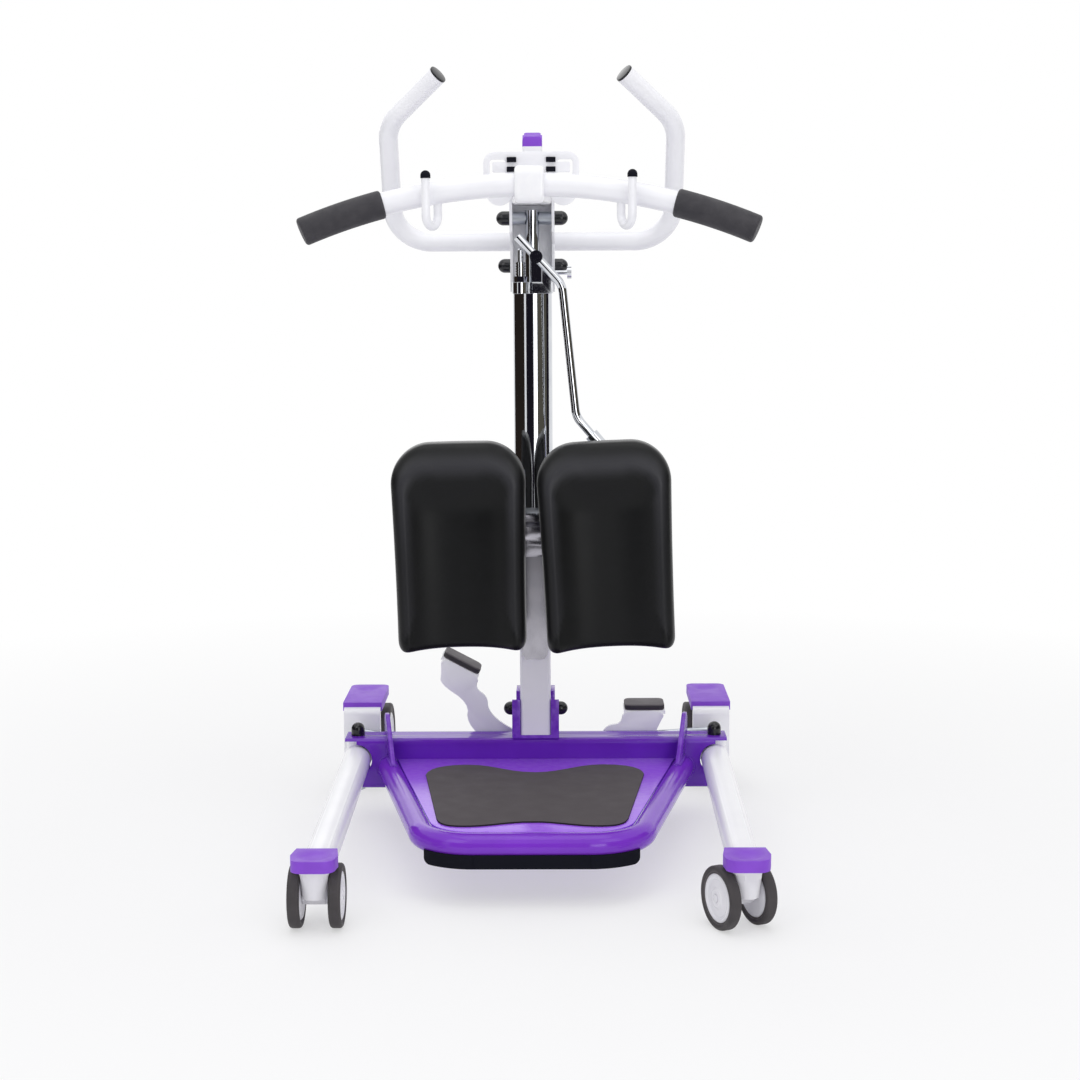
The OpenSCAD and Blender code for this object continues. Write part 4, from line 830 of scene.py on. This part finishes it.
@dataclass
class KneePads:
    """The two cushions: skinned foam, moulded with a trough for the shin and flat on the back plates.

    Attributes:
        middle: the place of each cushion's middle, across.
        back: the depth and the height of its back's middle.
        turn: how far the left and the right cushion lean, in degrees.
        half: half the width at the top, half the width at the bottom and half the height.
        corner: the outline's rounding at the top and at the bottom corners.
        crown: how far the top edge rises in its middle.
        pull: how far the sides draw in between the corners.
        arch: how far the lower edge rises in its middle.
        thick: the thickness over the rims.
        side_roll: width and depth of the rounding along the sides.
        top_roll: the same along the top.
        low_roll: the same along the lower edge.
        trough: the depth of the trough.
        rim: where the trough starts, as a share of half the width.
        fade: where the trough starts and is full, measured down from the top.
        walls: how deep the rows of the walls lie, as shares of the depth at the outline.
        sole: the back's width and height, as shares of the outline's.
        steep: how sharply the trough and the bowed edges gather towards their ends.
        crest_at: where the top's crest lies in its rounding, as a share.
        crest_reach: how far the painted highlight reaches from the crest, as a share of its place.
        low_edge: the upward part of the outline's direction below which no highlight is painted.
        crest_tint: how much of the painted highlight is left at the foot of the sides.
        highlight_from: the height from which the painted highlight grows, from -1 to 1.
        cells: faces across the front.
        crowd: how much closer the faces lie towards the edge.
        fill: how full the cushion is; not used.
    """

    middle: dict[str, float] = field(default_factory=lambda: {"left": -101.5, "right": 102.5})
    back: tuple[float, float] = (-121, 425)
    turn: dict[str, float] = field(default_factory=lambda: {"left": -1.0, "right": -2.5})
    half: tuple[float, float, float] = (95, 89.5, 145)
    corner: tuple[float, float] = (56, 15)
    crown: float = 2
    pull: float = 1.5
    arch: float = 5
    thick: float = 64
    side_roll: tuple[float, float] = (18, 21)
    top_roll: tuple[float, float] = (58, 27)
    low_roll: tuple[float, float] = (10, 9)
    trough: float = 17
    rim: float = 0.8
    fade: tuple[float, float] = (20, 96)
    walls: dict[Layer, float] = field(default_factory=lambda: {Layer.EDGE: 0.62, Layer.WALL: 0.15})
    sole: tuple[float, float] = (0.94, 0.96)
    steep: int = 3
    crest_at: float = 0.5
    crest_reach: float = 0.8
    low_edge: float = -0.7
    crest_tint: float = 0.4
    highlight_from: float = -0.2
    cells: int = 48
    crowd: float = 1.5
    fill: float = 0.85

    def build(self) -> None:
        """Builds both cushions."""
        for side, lean in self.turn.items():
            pad = self.blank(f"{side}_cushion")
            centre = place(self.middle[side], *self.back)
            tilt = Matrix.Rotation(math.radians(lean), 3, "Y")
            # The crests get a painted highlight through this mask.
            mask = pad.data.attributes.new(RIM, "FLOAT", "POINT")
            for vertex in pad.data.vertices:
                mask.data[vertex.index].value = self.crest(*vertex.co)
                vertex.co = centre + tilt @ (self.point(*vertex.co) * MM)
            only(pad)
            bpy.ops.object.mode_set(mode="EDIT")
            bpy.ops.mesh.select_all(action="SELECT")
            bpy.ops.mesh.normals_make_consistent(inside=False)
            bpy.ops.object.mode_set(mode="OBJECT")
            with_modifier(pad, "SUBSURF", levels=2, render_levels=2)
            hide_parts(f"{side}_knee_pad")
            finished(pad, PAD_SKIN, f"{side}_knee", smooth=60)

    def blank(self, name: str) -> Piece:
        """Makes a closed box of faces, whose rows stand at the levels that Layer names.

        Args:
            name: the piece's name.

        Returns:
            The box.
        """
        bpy.ops.object.select_all(action="DESELECT")
        bpy.ops.mesh.primitive_grid_add(x_subdivisions=self.cells, y_subdivisions=self.cells, size=2)
        pad = bpy.context.object
        pad.name = name
        bpy.ops.object.mode_set(mode="EDIT")
        bpy.ops.mesh.select_mode(type="EDGE")
        bpy.ops.mesh.select_all(action="DESELECT")
        bpy.ops.mesh.select_non_manifold()
        for _ in range(Layer.BACK):
            bpy.ops.mesh.extrude_edges_move(TRANSFORM_OT_translate={"value": (0, 0, 1)})
        bpy.ops.mesh.fill_grid(span=self.cells)
        bpy.ops.object.mode_set(mode="OBJECT")
        return pad

    def edge(self, u: float, v: float) -> tuple[Vector, Vector]:
        """Follows the outline.

        Args:
            u: place across, -1 to 1.
            v: place up, -1 to 1; one of the two is at its limit.

        Returns:
            The outline's point and its outward direction, both with X across and Y up, in millimetres.
        """
        width, _, height = self.half
        round_ = self.corner[0] if v > 0 else self.corner[1]
        along = Vector((abs(u) * width, abs(v) * height))
        inner = Vector((width - round_, height - round_))
        if abs(u) >= abs(v):
            angle = max(0.0, along.y - inner.y) / round_ * math.pi / 4
            flat = Vector((inner.x, min(along.y, inner.y)))
        else:
            angle = math.pi / 2 - max(0.0, along.x - inner.x) / round_ * math.pi / 4
            flat = Vector((min(along.x, inner.x), inner.y))
        out = Vector((math.cos(angle), math.sin(angle)))
        spot = flat + out * round_
        signs = Vector((math.copysign(1, u), math.copysign(1, v)))
        return spot * signs, out * signs

    def crest(self, u: float, v: float, level: float) -> float:
        """Tells how much highlight is painted on a point of the blank: most on the rim's crest, and more
        towards the top.

        Args:
            u: its place across, -1 to 1.
            v: its place up, -1 to 1.
            level: its row.

        Returns:
            The share of painted highlight.
        """
        if round(level) != Layer.FRONT:
            return 0.0
        ring = max(abs(u), abs(v), TINY)
        spot, out = self.edge(u / ring, v / ring)
        if out.y < self.low_edge:
            return 0.0
        inward = (1 - ring) ** self.crowd * spot.dot(out)
        roll = self.side_roll[0] * out.x ** 2 + self.top_roll[0] * self.crest_at * out.y ** 2
        near = eased(1 - abs(inward / roll - 1) / self.crest_reach)
        return near * (self.crest_tint + (1 - self.crest_tint) * eased(v - self.highlight_from))

    def point(self, u: float, v: float, level: float) -> Vector:
        """Places one point of the blank.

        Args:
            u: its place across, -1 to 1.
            v: its place up, -1 to 1.
            level: its row.

        Returns:
            Its place on the cushion, in millimetres from the middle of the back.
        """
        layer = Layer(round(level))
        ring = max(abs(u), abs(v), TINY)
        spot, out = self.edge(u / ring, v / ring)
        share = 1 - (1 - ring) ** self.crowd
        width, width_low, height = self.half
        flat = spot * share
        up = flat.y / height
        taper = (0.5 + up / 2) + (0.5 - up / 2) * width_low / width
        across = flat.x * (taper - self.pull / width * (1 - up * up))
        bow = self.crown if up > 0 else self.arch
        rise = flat.y + bow * (1 - (flat.x / width) ** 2) * abs(up) ** self.steep
        end = self.top_roll if out.y > 0 else self.low_roll
        roll = [s * out.x ** 2 + e * out.y ** 2 for s, e in zip(self.side_roll, end)]
        rim_at = self.thick - roll[1]
        if layer == Layer.BACK:
            return Vector((across * self.sole[0], 0, rise * self.sole[1]))
        if layer in self.walls:
            return Vector((across, -rim_at * self.walls[layer], rise))
        inward = (1 - share) * spot.dot(out)
        bare = 1 - min(1.0, inward / roll[0])
        front = rim_at + roll[1] * math.sqrt(max(0.0, 1 - bare * bare))
        dip = 1 - min(1.0, abs(flat.x) / width / self.rim) ** self.steep
        down = eased((height - flat.y - self.fade[0]) / (self.fade[1] - self.fade[0]))
        return Vector((across, -(front - self.trough * dip * down), rise))


BAR_AXIS = place(0, -270, 916)  # the handlebar's middle, in the hole of the boom


@dataclass
class HandGrips:
    """Foam sleeves on the handlebar's ends, with soft rims.

    Attributes:
        middle: the handlebar's middle.
        bend: the radius of the handlebar's arc.
        lean: how far the arc's plane leans, in degrees.
        reach: half the bar's length, across.
        length: a sleeve's length along the arc.
        radius: a sleeve's radius.
        past: how far it passes the bar's end, in degrees of the arc.
        rim: the rounding of its ends.
        rim_steps: the rounding's steps.
        steps: sections along the arc.
        sides: sides of the section.
    """

    middle: Vector = field(default_factory=BAR_AXIS.copy)
    bend: float = 670 * MM
    lean: float = 27
    reach: float = 291 * MM
    length: float = 112 * MM
    radius: float = 18.5 * MM
    past: float = 0.25
    rim: float = 4 * MM
    rim_steps: int = 5
    steps: int = 20
    sides: int = 40

    def build(self) -> None:
        """Spins one sleeve along the bar's arc and mirrors it to the other end."""
        up = Matrix.Rotation(math.radians(90 - self.lean), 3, "X")
        centre = self.middle - up @ Vector((0, self.bend, 0))
        axis = up @ Vector((0, 0, 1))
        last = math.asin(self.reach / self.bend) + math.radians(self.past)
        first = last - self.length / self.bend
        turn = Matrix.Rotation(-first, 3, axis)
        at = centre + turn @ (self.middle - centre)
        bpy.ops.object.select_all(action="DESELECT")
        bpy.ops.mesh.primitive_circle_add(vertices=self.sides, radius=self.radius, fill_type="NOTHING")
        grip = bpy.context.object
        grip.name = "grip_sleeves"
        across = (turn @ Vector((1, 0, 0))).to_track_quat("Z", "Y").to_matrix()
        grip.data.transform(Matrix.Translation(at) @ across.to_4x4())
        bpy.ops.object.mode_set(mode="EDIT")
        bpy.ops.mesh.select_all(action="SELECT")
        bpy.ops.mesh.spin(steps=self.steps, angle=last - first, center=centre, axis=axis)
        bpy.ops.mesh.select_all(action="SELECT")
        bpy.ops.mesh.remove_doubles(threshold=WELD)
        bpy.ops.mesh.select_all(action="DESELECT")
        bpy.ops.mesh.select_non_manifold()
        bpy.ops.mesh.fill_holes(sides=0)
        bpy.ops.mesh.select_all(action="SELECT")
        bpy.ops.mesh.normals_make_consistent(inside=False)
        self.pick_rims(grip)
        bpy.ops.mesh.bevel(offset=self.rim, segments=self.rim_steps, affect="EDGES")
        bpy.ops.object.mode_set(mode="OBJECT")
        with_modifier(grip, "MIRROR", use_axis=(True, False, False))
        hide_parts("hand_grips")
        finished(grip, GRIP_FOAM, "head", smooth=50)

    def pick_rims(self, grip: Piece) -> None:
        """Selects the edges round the two flat ends of a sleeve in edit mode.

        Args:
            grip: the sleeve.
        """
        bpy.ops.mesh.select_all(action="DESELECT")
        mesh = bmesh.from_edit_mesh(grip.data)
        for face in mesh.faces:
            if len(face.verts) == self.sides:
                for edge in face.edges:
                    edge.select_set(True)
        mesh.select_flush_mode()
        bmesh.update_edit_mesh(grip.data)


class Screen(Enum):
    """The dark screens: their colour, and the angles that they fill, in degrees from the front towards +X."""

    BROWN = ("#2A2420", ((-140, -52),))
    BLACK = ("#1C1A22", ((-40, 4), (92, 112)))
    OLIVE = ("#57544A", ((28, 92),))

    def __init__(self, colour: str, spans: tuple[Span, ...]) -> None:
        """Keeps the screen's colour and the angles that it fills."""
        self.colour = colour
        self.spans = spans

    def holds(self, angle: float) -> bool:
        """Says whether the screen fills this angle."""
        return any(low <= angle <= high for low, high in self.spans)

    def material(self) -> Material:
        """Makes the screen's cloth, which glows as faintly as it would reflect.

        Returns:
            The cloth as a material.
        """
        cloth = bpy.data.materials.new("cloth_screen_" + self.name.lower())
        cloth.use_nodes = True
        tree = cloth.node_tree
        glow = add(tree, "Emission", {"Color": linear(self.colour), "Strength": 1.0}).outputs["Emission"]
        feed(tree, tree.nodes["Material Output"], {"Surface": glow})
        return cloth


@dataclass(frozen=True)
class Lamp:
    """A square soft lamp.

    Attributes:
        name: its name.
        at: where it hangs.
        size: the length of its side.
        power: its power in watts.
    """

    name: str
    at: tuple[float, float, float]
    size: float
    power: float

    def build(self, aim: Vector) -> None:
        """Hangs the lamp and turns it.

        Args:
            aim: the point that it looks at.
        """
        data = bpy.data.lights.new(self.name, "AREA")
        data.size = self.size
        data.energy = self.power
        lamp = bpy.data.objects.new(self.name, data)
        bpy.context.scene.collection.objects.link(lamp)
        lamp.location = self.at
        lamp.rotation_euler = (aim - Vector(self.at)).to_track_quat("-Z", "Y").to_euler()


LAMPS = (
    Lamp("key", (-1.6, -2.2, 2.7), 1.8, 13.0),
    Lamp("fill", (1.8, -2.0, 2.6), 1.6, 9.0),
    Lamp("top", (0.1, -0.3, 3.3), 2.2, 18.0),
    Lamp("front", (0.9, -2.9, 0.7), 1.0, 8.0),
    Lamp("back", (-1.2, 2.7, 2.2), 2.6, 12.0),
)


@dataclass
class Studio:
    """A pale floor that fades into a white backdrop, soft lamps, dark screens for the metal, and the camera.

    Attributes:
        floor_radius: the floor's radius.
        floor_sides: the sides of its outline.
        paper: the floor's colour.
        paper_rough: the floor's roughness.
        fade: where the floor starts to fade and where it has gone white.
        near_glow: how white it is shown before it starts to fade, as a share.
        ambient: the light that comes from all round.
        aim: where the lamps look.
        screen_radius: the radius of the ring of screens.
        screen_height: their height.
        screen_sides: the sides of the whole ring.
        sensor: the width of the camera's sensor, in millimetres.
        lens: the camera's focal length, in millimetres.
        spot: where the camera stands.
        tilt: how far it looks down, in degrees.
        turn: how far it is turned to the left, in degrees.
        roll: how far it is rolled, in degrees.
    """

    floor_radius: float = 9.0
    floor_sides: int = 96
    paper: str = "#F4F4F6"
    paper_rough: float = 0.95
    fade: Span = (0.7, 2.0)
    near_glow: float = 0.5
    ambient: float = 0.68
    aim: Vector = field(default_factory=lambda: Vector((0, 0, 0.55)))
    screen_radius: float = 2.2
    screen_height: float = 1.3
    screen_sides: int = 180
    sensor: float = 36
    lens: float = 65.1
    spot: Vector = field(default_factory=lambda: Vector((0.0425, -2.696, 0.800)))
    tilt: float = 7.733
    turn: float = 0.7
    roll: float = -0.344

    def build(self) -> None:
        """Builds the floor, the light and the camera."""
        bpy.context.scene.view_settings.view_transform = "Standard"
        self.build_floor()
        self.build_world()
        for lamp in LAMPS:
            lamp.build(self.aim)
        self.build_screens()
        self.build_camera()

    def plain_rays(self, tree: Tree) -> Socket:
        """Picks the rays that see the background itself: from the camera, off metal or through glass.

        Args:
            tree: the tree that asks.

        Returns:
            1 for such rays and 0 for the others.
        """
        path = add(tree, "LightPath").outputs
        seen = [path["Is Camera Ray"], path["Is Glossy Ray"]]
        seen = [add(tree, "Math", seen, operation="MAXIMUM").outputs[0], path["Is Transmission Ray"]]
        return add(tree, "Math", seen, operation="MAXIMUM").outputs[0]

    def build_floor(self) -> None:
        """Makes the floor, which keeps the object's shadow near it and turns white further out."""
        bpy.ops.object.select_all(action="DESELECT")
        bpy.ops.mesh.primitive_circle_add(vertices=self.floor_sides, radius=self.floor_radius,
                                          fill_type="NGON")
        floor = bpy.context.object
        floor.name = "studio_floor"
        material = bpy.data.materials.new("paper_white_floor")
        material.use_nodes = True
        tree = material.node_tree
        paper = tree.nodes["Principled BSDF"]
        matt = {"Roughness": self.paper_rough, "Specular IOR Level": 0.0}
        feed(tree, paper, {"Base Color": linear(self.paper), **matt})
        coords = add(tree, "TexCoord").outputs["Object"]
        away = add(tree, "VectorMath", [coords], operation="LENGTH").outputs["Value"]
        faded = add(tree, "MapRange", [away, *self.fade, self.near_glow, 1.0]).outputs[0]
        share = add(tree, "Math", [faded, self.plain_rays(tree)], operation="MULTIPLY").outputs[0]
        glow = add(tree, "Emission", {"Color": WHITE, "Strength": 1.0}).outputs["Emission"]
        mixed = add(tree, "MixShader", [share, paper.outputs["BSDF"], glow]).outputs["Shader"]
        feed(tree, tree.nodes["Material Output"], {"Surface": mixed})
        floor.data.materials.append(material)

    def build_screens(self) -> None:
        """Stands dark cloth screens round the set, which only show as the dark bands in polished metal."""
        bpy.ops.object.select_all(action="DESELECT")
        bpy.ops.mesh.primitive_cylinder_add(vertices=self.screen_sides, radius=self.screen_radius,
                                            depth=self.screen_height, end_fill_type="NOTHING",
                                            location=(0, 0, self.screen_height / 2))
        bpy.ops.object.transform_apply(location=True)
        screens = bpy.context.object
        screens.name = "studio_screens"
        for screen in Screen:
            screens.data.materials.append(screen.material())
        bpy.ops.object.mode_set(mode="EDIT")
        bpy.ops.mesh.select_all(action="DESELECT")
        mesh = bmesh.from_edit_mesh(screens.data)
        for face in mesh.faces:
            middle = face.calc_center_median()
            angle = math.degrees(math.atan2(middle.x, -middle.y))
            held = [i for i, screen in enumerate(Screen) if screen.holds(angle)]
            face.material_index = held[0] if held else 0
            face.select_set(not held)
        bmesh.update_edit_mesh(screens.data)
        bpy.ops.mesh.delete(type="FACE")
        bpy.ops.object.mode_set(mode="OBJECT")
        for rays in ("camera", "diffuse", "transmission", "volume_scatter", "shadow"):
            setattr(screens, "visible_" + rays, False)

    def build_world(self) -> None:
        """Makes the white backdrop and the light from all round."""
        world = bpy.data.worlds.new("studio_white")
        world.use_nodes = True
        bpy.context.scene.world = world
        tree = world.node_tree
        level = add(tree, "MapRange", [self.plain_rays(tree), 0.0, 1.0, self.ambient, 1.0]).outputs[0]
        feed(tree, tree.nodes["Background"], {"Color": WHITE, "Strength": level})

    def build_camera(self) -> None:
        """Sets the camera at the photograph's view."""
        data = bpy.data.cameras.new("photo_camera")
        data.lens = self.lens
        data.sensor_width = self.sensor
        camera = bpy.data.objects.new("photo_camera", data)
        bpy.context.scene.collection.objects.link(camera)
        camera.matrix_world = (Matrix.Translation(self.spot)
                               @ Matrix.Rotation(math.radians(self.turn), 4, "Z")
                               @ Matrix.Rotation(math.radians(90 - self.tilt), 4, "X")
                               @ Matrix.Rotation(math.radians(self.roll), 4, "Z"))
        bpy.context.scene.camera = camera


def casters(*kinds: str) -> list[str]:
    """Names the nodes of these kinds on all four casters."""
    ends = [f"{end}_{side}" for end in ("front", "rear") for side in ("left", "right")]
    return [f"{end}_{kind}" for end in ends for kind in kinds]


DRESSINGS = (
    Dressing(LIT_PURPLE_COAT, ("footplate_frame",)),
    Dressing(WHITE_COAT, ("outer_mast", "inner_mast", "handlebar", "sling_hooks", "push_handle")),
    Dressing(CHROME, ("jack_cylinder", "jack_ram", "pump_lever", "pump_plunger", "release_knob",
                      "pump_fittings")),
    Dressing(STEEL, ("knee_rail",)),
    Dressing(ZINC, ("base_bolts", "head_bolts")),
    Dressing(BLACK_PLASTIC, ("base_bolt_caps", "head_bolt_caps")),
    Dressing(BLACK_NYLON, ("mast_bush", "mast_foot")),
    Dressing(BUFFER_RUBBER, ("rubber_tips",)),
)

BAR_HOLE = 17 * MM  # the boom's edges within this distance of the handlebar's middle stay crisp
BUFFER_BED = 60 * MM  # the height at which the buffer meets the footplate


def off_the_bar(spot: Vector) -> bool:
    """Says whether an edge of the boom lies away from the hole that takes the handlebar."""
    return math.hypot(spot.y - BAR_AXIS.y, spot.z - BAR_AXIS.z) > BAR_HOLE


def below_the_plate(spot: Vector) -> bool:
    """Says whether an edge of the buffer lies below the footplate, where it shows."""
    return spot.z < BUFFER_BED


ROUNDED = (
    SoftEdges(SHADED_PURPLE_COAT, 1.3 * MM, ("gusset_plates", "mast_bracket")),
    SoftEdges(SHADED_PURPLE_COAT, 0.7 * MM, ("crossbeam",)),
    SoftEdges(LIT_PURPLE_SHEET_COAT, 0.7 * MM, ("footplate_panel",)),
    SoftEdges(WHITE_COAT, 1.2 * MM, ("head_channel", "sling_cleat", "pedal_rocker", "left_leg", "right_leg")),
    SoftEdges(WHITE_COAT, 7 * MM, ("boom_arm",), keep=off_the_bar, steps=6),
    SoftEdges(ZINC, 0.6 * MM, ("jack_seat", "left_knee_plate", "right_knee_plate", "left_link",
                               "right_link")),
    SoftEdges(CHROME, 0.6 * MM, ("jack_collar",)),
    SoftEdges(STEEL, 0.6 * MM, ("knee_bracket",)),
    SoftEdges(PURPLE_PLASTIC, 2.2 * MM, ("mast_cap", "left_leg_caps", "right_leg_caps"), steps=4),
    SoftEdges(WHITE_PLASTIC, 1.2 * MM, casters("caster", "hubs")),
    SoftEdges(BLACK_PLASTIC, 0.8 * MM, ("push_handle_caps", "knee_clamp_knob")),
    SoftEdges(MAT_RUBBER, 1.0 * MM, ("foot_mat",)),
    SoftEdges(PEDAL_RUBBER, 2.2 * MM, ("pedal_pads",), steps=4),
    SoftEdges(BUFFER_RUBBER, 3 * MM, ("footplate_bumper",), keep=below_the_plate, steps=4),
    SoftEdges(TYRE_RUBBER, 1.5 * MM, casters("tyres"), steps=4),
)


def main() -> None:
    """Builds the studio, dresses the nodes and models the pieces."""
    logging.basicConfig(level=logging.INFO, format="%(name)s: %(message)s")
    Studio().build()
    for group in DRESSINGS:
        group.dress()
    for group in ROUNDED:
        group.build()
    KneePads().build()
    HandGrips().build()
    WeldBeads().build()


if __name__ == "__main__":
    main()
